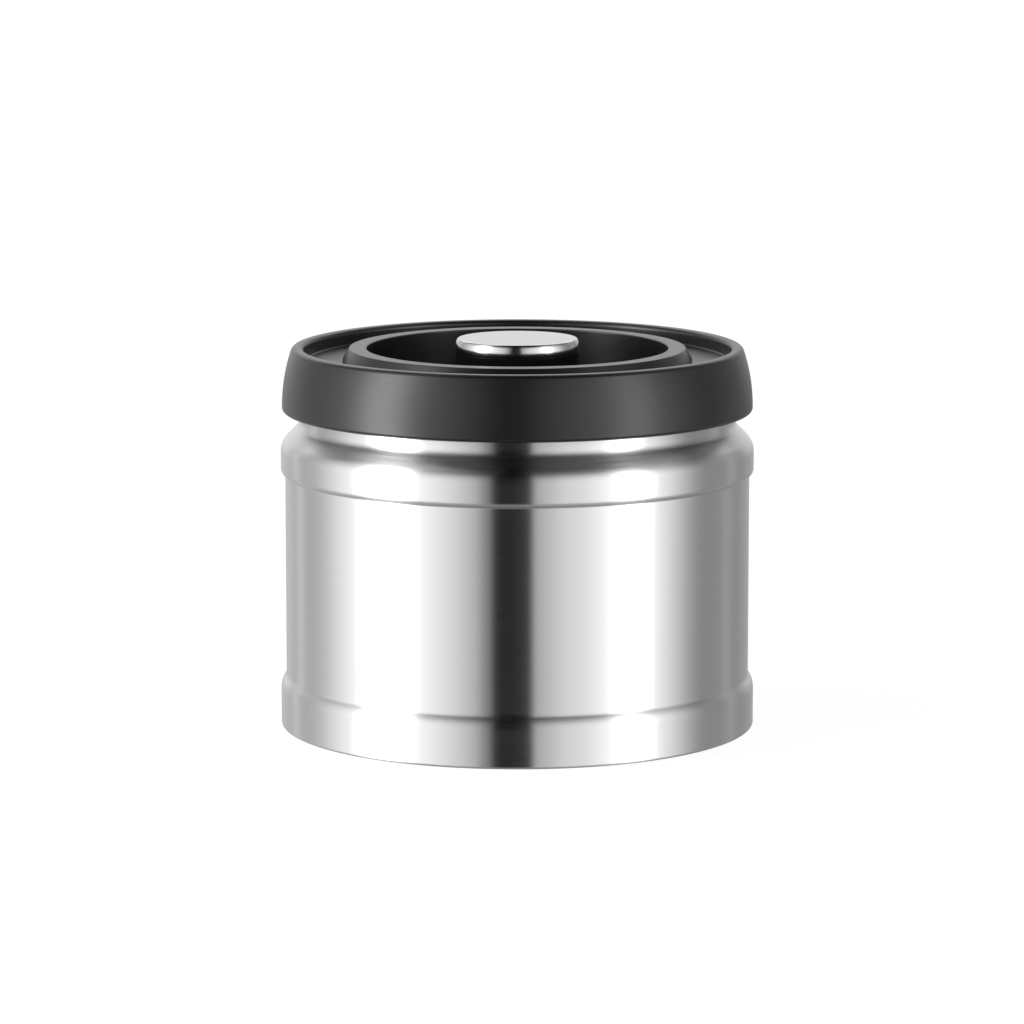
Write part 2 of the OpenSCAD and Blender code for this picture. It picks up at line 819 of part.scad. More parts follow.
body_shell();
base_disc();
lid_shell();
grip_ring();
underside_cover();
main_gasket();
cover_screws();
pump_cylinder();
cylinder_seal();
cylinder_screws();
inlet_valve();
inlet_filter();
inlet_guard();
button_cap();
button_body();
piston();
piston_seal();
outlet_valve();
piston_screws();
return_spring();
release_valve();
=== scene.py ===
"""Vacuum seal canister: the finished pieces, their finishes, the studio and the camera.

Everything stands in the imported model's frame: metres in Blender, +Z up, and the origin in the middle
of the foot. The classes hold their sizes in millimetres, which the mesh builders turn to metres.
"""

import logging
import math
from dataclasses import dataclass
from enum import Enum
from typing import Any

import bpy
from mathutils import Matrix, Vector


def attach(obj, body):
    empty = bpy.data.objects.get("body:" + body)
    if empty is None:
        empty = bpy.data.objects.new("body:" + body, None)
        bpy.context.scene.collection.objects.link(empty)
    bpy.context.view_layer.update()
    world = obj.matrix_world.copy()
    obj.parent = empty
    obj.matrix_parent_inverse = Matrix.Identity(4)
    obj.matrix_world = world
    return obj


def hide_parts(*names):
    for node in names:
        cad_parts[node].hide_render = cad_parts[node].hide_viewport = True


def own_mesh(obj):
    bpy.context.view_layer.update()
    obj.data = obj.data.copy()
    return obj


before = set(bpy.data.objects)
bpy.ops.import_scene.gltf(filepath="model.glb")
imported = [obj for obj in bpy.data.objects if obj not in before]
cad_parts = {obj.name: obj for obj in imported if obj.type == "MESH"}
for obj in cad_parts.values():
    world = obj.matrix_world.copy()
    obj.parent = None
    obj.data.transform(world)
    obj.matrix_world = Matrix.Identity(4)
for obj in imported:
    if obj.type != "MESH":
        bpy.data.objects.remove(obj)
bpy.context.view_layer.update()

LOG = logging.getLogger("canister")
MM = 0.001
# A point of an outline this near to the axis stands on it, in millimetres.
ON_AXIS = 1e-6
# Points of a turned piece this near to each other are one point, in metres.
SAME_PLACE = 1e-6
# Faces that meet at a larger angle than this keep a crease.
CREASE = math.radians(38)
# How far a tool reaches past the face that it cuts or joins, in millimetres.
OVERRUN = 0.5

Point = tuple[float, float]
Outline = list[Point]
Colour = tuple[float, float, float, float]
WHITE: Colour = (1.0, 1.0, 1.0, 1.0)


class Joining(Enum):
    """How a tool is joined to a piece."""

    UNION = "UNION"
    DIFFERENCE = "DIFFERENCE"


class Round(Enum):
    """How many flats a turned piece has round the axis."""

    LARGE = 256
    MIDDLE = 160
    SMALL = 96
    TINY = 40


class Ease(Enum):
    """How the corners of an outline are rounded: the radius in millimetres, and the flats in each."""

    CRISP = (0.03, 2)
    THIN = (0.12, 3)
    LIGHT = (0.15, 3)
    SMALL = (0.2, 3)
    MIDDLE = (0.2, 4)
    MOULDED = (0.25, 4)
    FULL = (0.3, 4)
    SOFT = (0.3, 5)
    SOFTEST = (0.35, 5)


# Colours and node trees


def linear(hex_colour: str) -> Colour:
    """Turns an sRGB colour into the linear values that a shader takes.

    Args:
        hex_colour: The colour as "#rrggbb".

    Returns:
        Red, green and blue in linear light, and an alpha of 1.
    """
    channels = [int(hex_colour[i:i + 2], 16) / 255 for i in (1, 3, 5)]
    red, green, blue = (c / 12.92 if c <= 0.04045 else ((c + 0.055) / 1.055) ** 2.4 for c in channels)
    return red, green, blue, 1.0


def add_node(tree: bpy.types.NodeTree, kind: str, settings: dict[str, Any] | None = None,
             links: dict[Any, Any] | None = None) -> bpy.types.Node:
    """Adds a node to a tree, with its settings and what its inputs take.

    Args:
        tree: The shader, world or geometry tree.
        kind: Blender's name for the node's type.
        settings: Properties of the node by name.
        links: For each input, by name or number, a socket to link from or a value to hold.

    Returns:
        The new node.
    """
    node = tree.nodes.new(kind)
    for name, value in (settings or {}).items():
        setattr(node, name, value)
    for key, value in (links or {}).items():
        if isinstance(value, bpy.types.NodeSocket):
            tree.links.new(value, node.inputs[key])
        else:
            node.inputs[key].default_value = value
    return node


# Finishes


@dataclass(frozen=True)
class Finish:
    """A moulded, pressed or drawn surface: its base values, and the pattern that its making leaves.

    The pattern is a noise on Object coordinates. Its grain is one mark's size along X and Y and along Z,
    in millimetres, and bump_height is how far it stands out, in millimetres. A face_roughness is for a
    flat top that is left duller than the sides.
    """

    name: str
    slot: str
    colour: str
    roughness: float
    metallic: float = 0.0
    ior: float = 1.5
    anisotropy: float = 0.0
    subsurface: float = 0.0
    sheen: float = 0.0
    grain: Point = (0.4, 0.4)
    bump_height: float = 0.0
    bump_share: float = 0.3
    shade_range: float = 0.0
    roughness_range: float = 0.0
    face_roughness: float = 0.0

    def material(self) -> bpy.types.Material:
        """Builds the material, the first time that it is asked for.

        Returns:
            The material.
        """
        known = bpy.data.materials.get(self.name)
        if known:
            return known
        made = bpy.data.materials.new(self.name)
        made.use_nodes = True
        tree = made.node_tree
        shader = tree.nodes["Principled BSDF"]
        shader.inputs["Base Color"].default_value = linear(self.colour)
        shader.inputs["Metallic"].default_value = self.metallic
        shader.inputs["Roughness"].default_value = self.roughness
        if not self.metallic:
            shader.inputs["IOR"].default_value = self.ior
        shader.inputs["Anisotropic"].default_value = self.anisotropy
        shader.inputs["Subsurface Weight"].default_value = self.subsurface
        shader.inputs["Subsurface Scale"].default_value = 2 * MM
        shader.inputs["Sheen Weight"].default_value = self.sheen
        self._add_brushing(tree, shader)
        self._add_pattern(tree, shader)
        return made

    def _add_brushing(self, tree: bpy.types.NodeTree, shader: bpy.types.Node) -> None:
        """Turns the stretched highlight so that the brush marks run round the axis.

        Args:
            tree: The material's tree.
            shader: Its main shader.
        """
        if self.anisotropy:
            # A quarter turn lays the marks along the radial tangent.
            shader.inputs["Anisotropic Rotation"].default_value = 0.25
            tangent = add_node(tree, "ShaderNodeTangent", {"direction_type": "RADIAL", "axis": "Z"})
            tree.links.new(tangent.outputs["Tangent"], shader.inputs["Tangent"])

    def _add_pattern(self, tree: bpy.types.NodeTree, shader: bpy.types.Node) -> None:
        """Adds the noise that varies the shade and the roughness and stands out as bump.

        Args:
            tree: The material's tree.
            shader: Its main shader.
        """
        # The noise seldom leaves the first range, and only a flat top's normal comes into the second.
        spread = {"From Min": 0.3, "From Max": 0.7}
        face_on = {"From Min": 0.97, "From Max": 0.995}
        place = add_node(tree, "ShaderNodeTexCoord").outputs["Object"]
        flat, upright = (1 / (size * MM) for size in self.grain)
        stretched = add_node(tree, "ShaderNodeVectorMath", {"operation": "MULTIPLY"}, {0: place})
        stretched.inputs[1].default_value = (flat, flat, upright)
        noise = add_node(tree, "ShaderNodeTexNoise", {},
                         {"Vector": stretched.outputs[0], "Scale": 1.0, "Detail": 3.0, "Roughness": 0.55})
        grain = noise.outputs["Fac"]
        if self.shade_range:
            shade = add_node(tree, "ShaderNodeMapRange", {}, {
                "Value": grain, **spread, "To Min": 1 - self.shade_range, "To Max": 1 + self.shade_range / 2})
            tint = add_node(tree, "ShaderNodeVectorMath", {"operation": "SCALE"},
                            {"Scale": shade.outputs["Result"]})
            tint.inputs[0].default_value = linear(self.colour)[:3]
            tree.links.new(tint.outputs[0], shader.inputs["Base Color"])
        if self.roughness_range:
            rough = add_node(tree, "ShaderNodeMapRange", {}, {
                "Value": grain, **spread, "To Min": self.roughness - self.roughness_range,
                "To Max": self.roughness + self.roughness_range})
            tree.links.new(rough.outputs["Result"], shader.inputs["Roughness"])
        if self.face_roughness:
            facing = add_node(tree, "ShaderNodeSeparateXYZ", {}, {
                0: add_node(tree, "ShaderNodeTexCoord").outputs["Normal"]}).outputs["Z"]
            dull = add_node(tree, "ShaderNodeMapRange", {}, {
                "Value": facing, **face_on, "To Min": self.roughness, "To Max": self.face_roughness})
            tree.links.new(dull.outputs["Result"], shader.inputs["Roughness"])
        if self.bump_height:
            bump = add_node(tree, "ShaderNodeBump", {}, {
                "Height": grain, "Strength": self.bump_share, "Distance": self.bump_height * MM})
            tree.links.new(bump.outputs["Normal"], shader.inputs["Normal"])


# Stainless steel sheet, brushed round the body on a lathe: mirror-like across the marks' length and
# hazy along the height, so lights stand on it as upright bands. Real marks are 0.05 mm apart and are
# drawn 0.3 mm apart, the finest that the render shows.
BRUSHED_STEEL = Finish(
    "stainless_steel_brushed", "brushed_steel", "#cecece", 0.25, metallic=1.0, anisotropy=1.0,
    grain=(14.0, 0.3), bump_height=0.002, bump_share=0.25, shade_range=0.03, roughness_range=0.02)
# Polypropylene moulded in a fine spark-eroded tool: black with a satin bloom, and a faint grain that
# shows where the light rakes it.
SATIN_POLYPROPYLENE = Finish(
    "polypropylene_satin_black", "satin_black", "#0c0c0d", 0.32, ior=1.5,
    grain=(0.9, 0.35), bump_height=0.02, bump_share=0.3, shade_range=0.06, roughness_range=0.03)
# ABS moulded in a polished tool: deep black with clear reflections.
GLOSS_ABS = Finish(
    "abs_gloss_black", "gloss_black", "#121213", 0.1, ior=1.54,
    grain=(1.6, 1.6), bump_height=0.004, bump_share=0.2, roughness_range=0.02)
# Bright nickel plate on a pressed cap: nearly a mirror, with the faint ripple of the pressing.
BRIGHT_NICKEL = Finish(
    "nickel_plate_bright", "polished_cap", "#c4c4c5", 0.15, metallic=1.0, face_roughness=0.12,
    grain=(0.24, 0.24), bump_height=0.01, bump_share=0.4, shade_range=0.02, roughness_range=0.03)
# Polypropylene moulded in a blasted tool: a flat, soft black.
MATT_POLYPROPYLENE = Finish(
    "polypropylene_matt_black", "matte_black", "#232324", 0.56, ior=1.5,
    grain=(0.3, 0.3), bump_height=0.02, bump_share=0.3, shade_range=0.06)
# Undyed polypropylene: milky, with a little light passing under the surface.
NATURAL_POLYPROPYLENE = Finish(
    "polypropylene_natural", "natural_plastic", "#dddcd6", 0.38, ior=1.5, subsurface=0.2,
    grain=(2.5, 2.5), bump_height=0.01, bump_share=0.2, shade_range=0.03, roughness_range=0.04)
# Food grade silicone rubber: cloudy white, soft highlights.
MILKY_SILICONE = Finish(
    "silicone_milky", "clear_silicone", "#d8d8d3", 0.42, ior=1.41, subsurface=0.35,
    grain=(0.8, 0.8), bump_height=0.008, bump_share=0.3, shade_range=0.03)
# Pigmented silicone rubber: dull grey that picks up a soft bloom.
GREY_SILICONE = Finish(
    "silicone_grey", "grey_silicone", "#8b8c8d", 0.5, ior=1.41, subsurface=0.1,
    grain=(0.5, 0.5), bump_height=0.01, bump_share=0.3, shade_range=0.04)
# Nitrile rubber: greyish black and dull.
NITRILE_RUBBER = Finish(
    "nitrile_rubber", "black_rubber", "#272728", 0.6, ior=1.52,
    grain=(0.3, 0.3), bump_height=0.01, bump_share=0.4, shade_range=0.08)
# Cold-headed stainless screws: grey metal with a fine uneven sheen.
SCREW_STEEL = Finish(
    "stainless_screw", "screw_steel", "#c0c2c4", 0.3, metallic=1.0,
    grain=(0.35, 0.2), bump_height=0.006, bump_share=0.4, shade_range=0.08, roughness_range=0.06)
# Drawn stainless wire: bright, with die marks.
DRAWN_WIRE = Finish(
    "stainless_wire_drawn", "spring_wire", "#c9cacc", 0.22, metallic=1.0,
    grain=(0.6, 0.12), bump_height=0.003, bump_share=0.3, shade_range=0.05, roughness_range=0.04)
# Needled polyester felt: white, matt and hairy, its fibres drawn 0.15 mm thick so that they show.
NEEDLE_FELT = Finish(
    "polyester_felt", "filter_felt", "#e9e7e0", 0.95, sheen=0.5,
    grain=(0.15, 0.15), bump_height=0.08, bump_share=0.8, shade_range=0.12)


# Outlines, in millimetres from the axis and above the table


def arc(x: float, z: float, radius: float, start: float, end: float, steps: int = 14) -> Outline:
    """A round stretch of an outline.

    Args:
        x: Middle of the arc, from the axis.
        z: Middle of the arc, above the table.
        radius: Radius of the arc.
        start: First angle, in degrees.
        end: Last angle, in degrees.
        steps: Number of flats.

    Returns:
        The points from start to end.
    """
    turns = [math.radians(start + (end - start) * i / steps) for i in range(steps + 1)]
    return [(x + radius * math.cos(turn), z + radius * math.sin(turn)) for turn in turns]


def rod(radius: float, low: float, high: float) -> Outline:
    """The outline of a plain rod on the axis.

    Args:
        radius: Radius of the rod.
        low: Its lower end.
        high: Its upper end.

    Returns:
        The four corners.
    """
    return [(0.0, low), (radius, low), (radius, high), (0.0, high)]


def eased(outline: Outline, ease: Ease) -> Outline:
    """Rounds the sharp corners of a closed outline, apart from those on the axis.

    Args:
        outline: The corners in order.
        ease: The rounding where there is room for it.

    Returns:
        The outline with its corners rounded.
    """
    radius, steps = ease.value
    least_turn = math.radians(20)
    reach_share = 0.4
    made: Outline = []
    for i, corner in enumerate(outline):
        here = Vector(corner)
        back = Vector(outline[i - 1]) - here
        ahead = Vector(outline[(i + 1) % len(outline)]) - here
        turn = math.pi - back.angle(ahead, math.pi)
        if corner[0] < ON_AXIS or turn < least_turn:
            made.append(corner)
            continue
        reach = min(radius * math.tan(turn / 2), reach_share * back.length, reach_share * ahead.length)
        start = here + back.normalized() * reach
        end = here + ahead.normalized() * reach
        for k in range(steps + 1):
            share = k / steps
            point = start.lerp(here, share).lerp(here.lerp(end, share), share)
            made.append((point.x, point.y))
    return made


def in_lathe_order(outline: Outline) -> tuple[Outline, bool]:
    """Puts a closed outline in the order that faces a turned piece outwards.

    Args:
        outline: The corners in either direction.

    Returns:
        The corners counter-clockwise, opened where the outline runs along the axis, and whether the
        outline is still closed.
    """
    count = len(outline)
    area = sum(outline[i - 1][0] * outline[i][1] - outline[i][0] * outline[i - 1][1] for i in range(count))
    points = outline if area > 0 else outline[::-1]
    for i in range(count):
        if points[i][0] < ON_AXIS and points[(i + 1) % count][0] < ON_AXIS:
            return points[i + 1:] + points[:i + 1], False
    return points, True


# Meshes


class Trees:
    """The geometry node trees, each built once."""

    @staticmethod
    def _started(name: str, inputs: dict[str, str]) -> tuple[bpy.types.GeometryNodeTree, bpy.types.Node]:
        """Starts a tree that takes a shape and gives one back.

        Args:
            name: Name of the tree.
            inputs: The type of each of its other inputs by name.

        Returns:
            The tree, and its input node.
        """
        tree = bpy.data.node_groups.new(name, "GeometryNodeTree")
        tree.interface.new_socket("Geometry", in_out="INPUT", socket_type="NodeSocketGeometry")
        tree.interface.new_socket("Geometry", in_out="OUTPUT", socket_type="NodeSocketGeometry")
        for label, kind in inputs.items():
            tree.interface.new_socket(label, in_out="INPUT", socket_type=kind)
        return tree, add_node(tree, "NodeGroupInput")

    @staticmethod
    def _ended(tree: bpy.types.GeometryNodeTree, shape: bpy.types.NodeSocket,
               given: bpy.types.Node) -> None:
        """Shades the shape, makes it one mesh, gives it its finish and sends it out.

        Args:
            tree: The tree.
            shape: The socket that holds the shape.
            given: The tree's input node.
        """
        smooth = add_node(tree, "GeometryNodeSetShadeSmooth", {"domain": "FACE"}, {"Geometry": shape})
        angle = add_node(tree, "GeometryNodeInputMeshEdgeAngle").outputs["Unsigned Angle"]
        sharp = add_node(tree, "FunctionNodeCompare", {"operation": "GREATER_THAN"},
                         {0: angle, 1: given.outputs["Crease angle"]})
        creased = add_node(tree, "GeometryNodeSetShadeSmooth", {"domain": "EDGE"}, {
            "Geometry": smooth.outputs[0], "Selection": sharp.outputs[0], "Shade Smooth": False})
        real = add_node(tree, "GeometryNodeRealizeInstances", {}, {"Geometry": creased.outputs[0]})
        dressed = add_node(tree, "GeometryNodeSetMaterial", {}, {
            "Geometry": real.outputs[0], "Material": given.outputs["Finish"]})
        add_node(tree, "NodeGroupOutput", {}, {"Geometry": dressed.outputs[0]})

    @classmethod
    def turned(cls) -> bpy.types.GeometryNodeTree:
        """Turns an outline, drawn in the XZ plane as points in order, round the Z axis.

        Returns:
            The tree.
        """
        name = "outline_turned_on_axis"
        if name in bpy.data.node_groups:
            return bpy.data.node_groups[name]
        tree, given = cls._started(name, {
            "Rows": "NodeSocketInt", "Flats": "NodeSocketInt", "Crease angle": "NodeSocketFloat",
            "Finish": "NodeSocketMaterial"})
        rows, flats = given.outputs["Rows"], given.outputs["Flats"]
        columns = add_node(tree, "FunctionNodeIntegerMath", {"operation": "ADD"}, {0: flats, 1: 1})
        grid = add_node(tree, "GeometryNodeMeshGrid", {}, {
            "Vertices X": columns.outputs[0], "Vertices Y": rows})
        index = add_node(tree, "GeometryNodeInputIndex").outputs[0]
        column = add_node(tree, "FunctionNodeIntegerMath", {"operation": "DIVIDE_FLOOR"}, {0: index, 1: rows})
        row = add_node(tree, "FunctionNodeIntegerMath", {"operation": "MODULO"}, {0: index, 1: rows})
        points = add_node(tree, "GeometryNodeAttributeDomainSize", {}, {
            "Geometry": given.outputs["Geometry"]})
        wrapped = add_node(tree, "FunctionNodeIntegerMath", {"operation": "MODULO"},
                           {0: row.outputs[0], 1: points.outputs["Point Count"]})
        place = add_node(tree, "GeometryNodeInputPosition").outputs[0]
        drawn = add_node(tree, "GeometryNodeSampleIndex", {"data_type": "FLOAT_VECTOR"}, {
            "Geometry": given.outputs["Geometry"], "Value": place, "Index": wrapped.outputs[0]})
        parts = add_node(tree, "ShaderNodeSeparateXYZ", {}, {0: drawn.outputs[0]})
        share = add_node(tree, "ShaderNodeMath", {"operation": "DIVIDE"}, {0: column.outputs[0], 1: flats})
        turn = add_node(tree, "ShaderNodeMath", {"operation": "MULTIPLY"}, {0: share.outputs[0], 1: math.tau})
        level = []
        for way in ("COSINE", "SINE"):
            wave = add_node(tree, "ShaderNodeMath", {"operation": way}, {0: turn.outputs[0]})
            level.append(add_node(tree, "ShaderNodeMath", {"operation": "MULTIPLY"},
                                  {0: wave.outputs[0], 1: parts.outputs["X"]}).outputs[0])
        spot = add_node(tree, "ShaderNodeCombineXYZ", {}, {
            "X": level[0], "Y": level[1], "Z": parts.outputs["Z"]})
        bent = add_node(tree, "GeometryNodeSetPosition", {}, {
            "Geometry": grid.outputs["Mesh"], "Position": spot.outputs[0]})
        whole = add_node(tree, "GeometryNodeMergeByDistance", {}, {
            "Geometry": bent.outputs[0], "Distance": SAME_PLACE})
        cls._ended(tree, whole.outputs[0], given)
        return tree

    @classmethod
    def ringed(cls) -> bpy.types.GeometryNodeTree:
        """Repeats a shape round the Z axis, each copy turned to face the axis as the first does.

        Returns:
            The tree.
        """
        name = "shape_repeated_round_axis"
        if name in bpy.data.node_groups:
            return bpy.data.node_groups[name]
        tree, given = cls._started(name, {
            "Count": "NodeSocketInt", "Radius": "NodeSocketFloat", "Turn": "NodeSocketFloat",
            "Crease angle": "NodeSocketFloat", "Finish": "NodeSocketMaterial"})
        circle = add_node(tree, "GeometryNodeMeshCircle", {}, {
            "Vertices": given.outputs["Count"], "Radius": given.outputs["Radius"]})
        first = add_node(tree, "ShaderNodeCombineXYZ", {}, {"Z": given.outputs["Turn"]})
        spots = add_node(tree, "GeometryNodeTransform", {}, {
            "Geometry": circle.outputs["Mesh"], "Rotation": first.outputs[0]})
        index = add_node(tree, "GeometryNodeInputIndex").outputs[0]
        share = add_node(tree, "ShaderNodeMath", {"operation": "DIVIDE"},
                         {0: index, 1: given.outputs["Count"]})
        turn = add_node(tree, "ShaderNodeMath", {"operation": "MULTIPLY_ADD"},
                        {0: share.outputs[0], 1: math.tau, 2: given.outputs["Turn"]})
        facing = add_node(tree, "ShaderNodeCombineXYZ", {}, {"Z": turn.outputs[0]})
        copies = add_node(tree, "GeometryNodeInstanceOnPoints", {}, {
            "Points": spots.outputs[0], "Instance": given.outputs["Geometry"],
            "Rotation": facing.outputs[0]})
        real = add_node(tree, "GeometryNodeRealizeInstances", {}, {"Geometry": copies.outputs[0]})
        cls._ended(tree, real.outputs[0], given)
        return tree

    @classmethod
    def wire(cls) -> bpy.types.GeometryNodeTree:
        """Sweeps round wire along a path, with flat closed ends.

        Returns:
            The tree.
        """
        name = "round_wire_along_path"
        if name in bpy.data.node_groups:
            return bpy.data.node_groups[name]
        tree, given = cls._started(name, {
            "Radius": "NodeSocketFloat", "Sides": "NodeSocketInt", "Crease angle": "NodeSocketFloat",
            "Finish": "NodeSocketMaterial"})
        path = add_node(tree, "GeometryNodeMeshToCurve", {}, {"Mesh": given.outputs["Geometry"]})
        ring = add_node(tree, "GeometryNodeCurvePrimitiveCircle", {}, {
            "Resolution": given.outputs["Sides"], "Radius": given.outputs["Radius"]})
        swept = add_node(tree, "GeometryNodeCurveToMesh", {}, {
            "Curve": path.outputs[0], "Profile Curve": ring.outputs["Curve"], "Fill Caps": True})
        cls._ended(tree, swept.outputs[0], given)
        return tree


def settled(piece: bpy.types.Object) -> bpy.types.Object:
    """Turns a piece with live modifiers into a plain mesh.

    Args:
        piece: The object, whose modifiers are all used up.

    Returns:
        The same object with its new mesh.
    """
    graph = bpy.context.evaluated_depsgraph_get()
    mesh = bpy.data.meshes.new_from_object(
        piece.evaluated_get(graph), preserve_all_data_layers=True, depsgraph=graph)
    piece.modifiers.clear()
    piece.data = mesh
    return piece


def drawn(name: str, points: list[tuple[float, float, float]], edges: list[tuple[int, int]],
          faces: list[tuple[int, ...]] | None = None) -> bpy.types.Object:
    """Makes an object from points in millimetres.

    Args:
        name: Name of the object.
        points: Its points.
        edges: Pairs of points.
        faces: Loops of points.

    Returns:
        The object, in the scene.
    """
    mesh = bpy.data.meshes.new(name)
    mesh.from_pydata([tuple(c * MM for c in point) for point in points], edges, faces or [])
    piece = bpy.data.objects.new(name, mesh)
    bpy.context.scene.collection.objects.link(piece)
    return piece


def noded(piece: bpy.types.Object, tree: bpy.types.GeometryNodeTree, values: dict[str, Any]
          ) -> bpy.types.Object:
    """Runs a geometry node tree on a piece and keeps the result as its mesh.

    Args:
        piece: The object that goes in.
        tree: The tree.
        values: What each named input takes.

    Returns:
        The same object with its new mesh.
    """
    modifier = piece.modifiers.new(tree.name, "NODES")
    modifier.node_group = tree
    for item in tree.interface.items_tree:
        if item.in_out == "INPUT" and item.name in values:
            modifier[item.identifier] = values[item.name]
    return settled(piece)


def turned(name: str, outline: Outline, finish: Finish, flats: Round = Round.MIDDLE) -> bpy.types.Object:
    """Turns a closed outline round the Z axis.

    Args:
        name: Name of the piece.
        outline: The outline, in millimetres from the axis and above the table.
        finish: What the piece is made of.
        flats: How finely it is turned.

    Returns:
        The turned piece.
    """
    points, closed = in_lathe_order(outline)
    piece = drawn(name, [(x, 0.0, z) for x, z in points], [(i, i + 1) for i in range(len(points) - 1)])
    return noded(piece, Trees.turned(), {
        "Rows": len(points) + closed, "Flats": flats.value, "Crease angle": CREASE,
        "Finish": finish.material()})


def round_axis(piece: bpy.types.Object, count: int, radius: float, finish: Finish, turn: float = 0.0
               ) -> bpy.types.Object:
    """Repeats a piece round the Z axis.

    Args:
        piece: The shape, drawn about the Z axis, that moves out along +X.
        count: Number of copies.
        radius: Distance of each from the axis, in millimetres.
        finish: What they are made of.
        turn: Angle of the first, in degrees.

    Returns:
        The same object, holding every copy.
    """
    return noded(piece, Trees.ringed(), {
        "Count": count, "Radius": radius * MM, "Turn": math.radians(turn), "Crease angle": CREASE,
        "Finish": finish.material()})


def moved(piece: bpy.types.Object, y: float = 0.0, z: float = 0.0, about_y: float = 0.0
          ) -> bpy.types.Object:
    """Turns a piece's mesh and moves it, so that its object stays at the origin.

    Args:
        piece: The object.
        y: Move along Y, in millimetres.
        z: Move along Z, in millimetres.
        about_y: Turn about Y before the move, in degrees.

    Returns:
        The same object.
    """
    turn = Matrix.Rotation(math.radians(about_y), 4, "Y")
    piece.data.transform(Matrix.Translation(Vector((0.0, y, z)) * MM) @ turn)
    return piece


def block(name: str, low: tuple[float, float, float], high: tuple[float, float, float], finish: Finish,
          ease: float = 0.0) -> bpy.types.Object:
    """A block with eased edges, as a tool or as part of a piece.

    Args:
        name: Name of the object.
        low: Its lowest corner, in millimetres.
        high: Its highest corner, in millimetres.
        finish: What it is made of.
        ease: Radius of its edges, in millimetres.

    Returns:
        The block.
    """
    xs, ys, zs = zip(low, high)
    points = [(x, y, z) for z in zs for y in ys for x in xs]
    faces = [(0, 2, 3, 1), (4, 5, 7, 6), (0, 1, 5, 4), (2, 6, 7, 3), (0, 4, 6, 2), (1, 3, 7, 5)]
    piece = drawn(name, points, [], faces)
    piece.data.materials.append(finish.material())
    if ease:
        bevel = piece.modifiers.new("ease", "BEVEL")
        bevel.width = ease * MM
        bevel.segments = 3
        settled(piece)
    return piece


def joined(piece: bpy.types.Object, way: Joining, *tools: bpy.types.Object) -> None:
    """Adds tools to a piece or cuts them out of it, and uses them up.

    Args:
        piece: The piece.
        way: Whether the tools are added or cut out.
        tools: The other solids.
    """
    for tool in tools:
        modifier = piece.modifiers.new("joined", "BOOLEAN")
        modifier.operation = way.value
        modifier.solver = "MANIFOLD"
        modifier.object = tool
        settled(piece)
        bpy.data.objects.remove(tool)


def shaded(piece: bpy.types.Object) -> None:
    """Shades a piece smooth between its creases, with the large faces kept flat.

    Args:
        piece: The object.
    """
    piece.data.shade_smooth()
    piece.data.set_sharp_from_angle(angle=CREASE)
    weighted = piece.modifiers.new("weighted", "WEIGHTED_NORMAL")
    weighted.keep_sharp = True
    settled(piece)


def placed(piece: bpy.types.Object, body: str, finish: Finish, *nodes: str) -> None:
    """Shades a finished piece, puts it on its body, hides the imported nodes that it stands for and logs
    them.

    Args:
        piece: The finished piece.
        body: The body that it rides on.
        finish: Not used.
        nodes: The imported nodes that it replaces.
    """
    shaded(piece)
    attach(piece, body)
    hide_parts(*nodes)
    LOG.info("%s: %d faces, on %s, for %s", piece.name, len(piece.data.polygons), body, ", ".join(nodes))


# Canister body


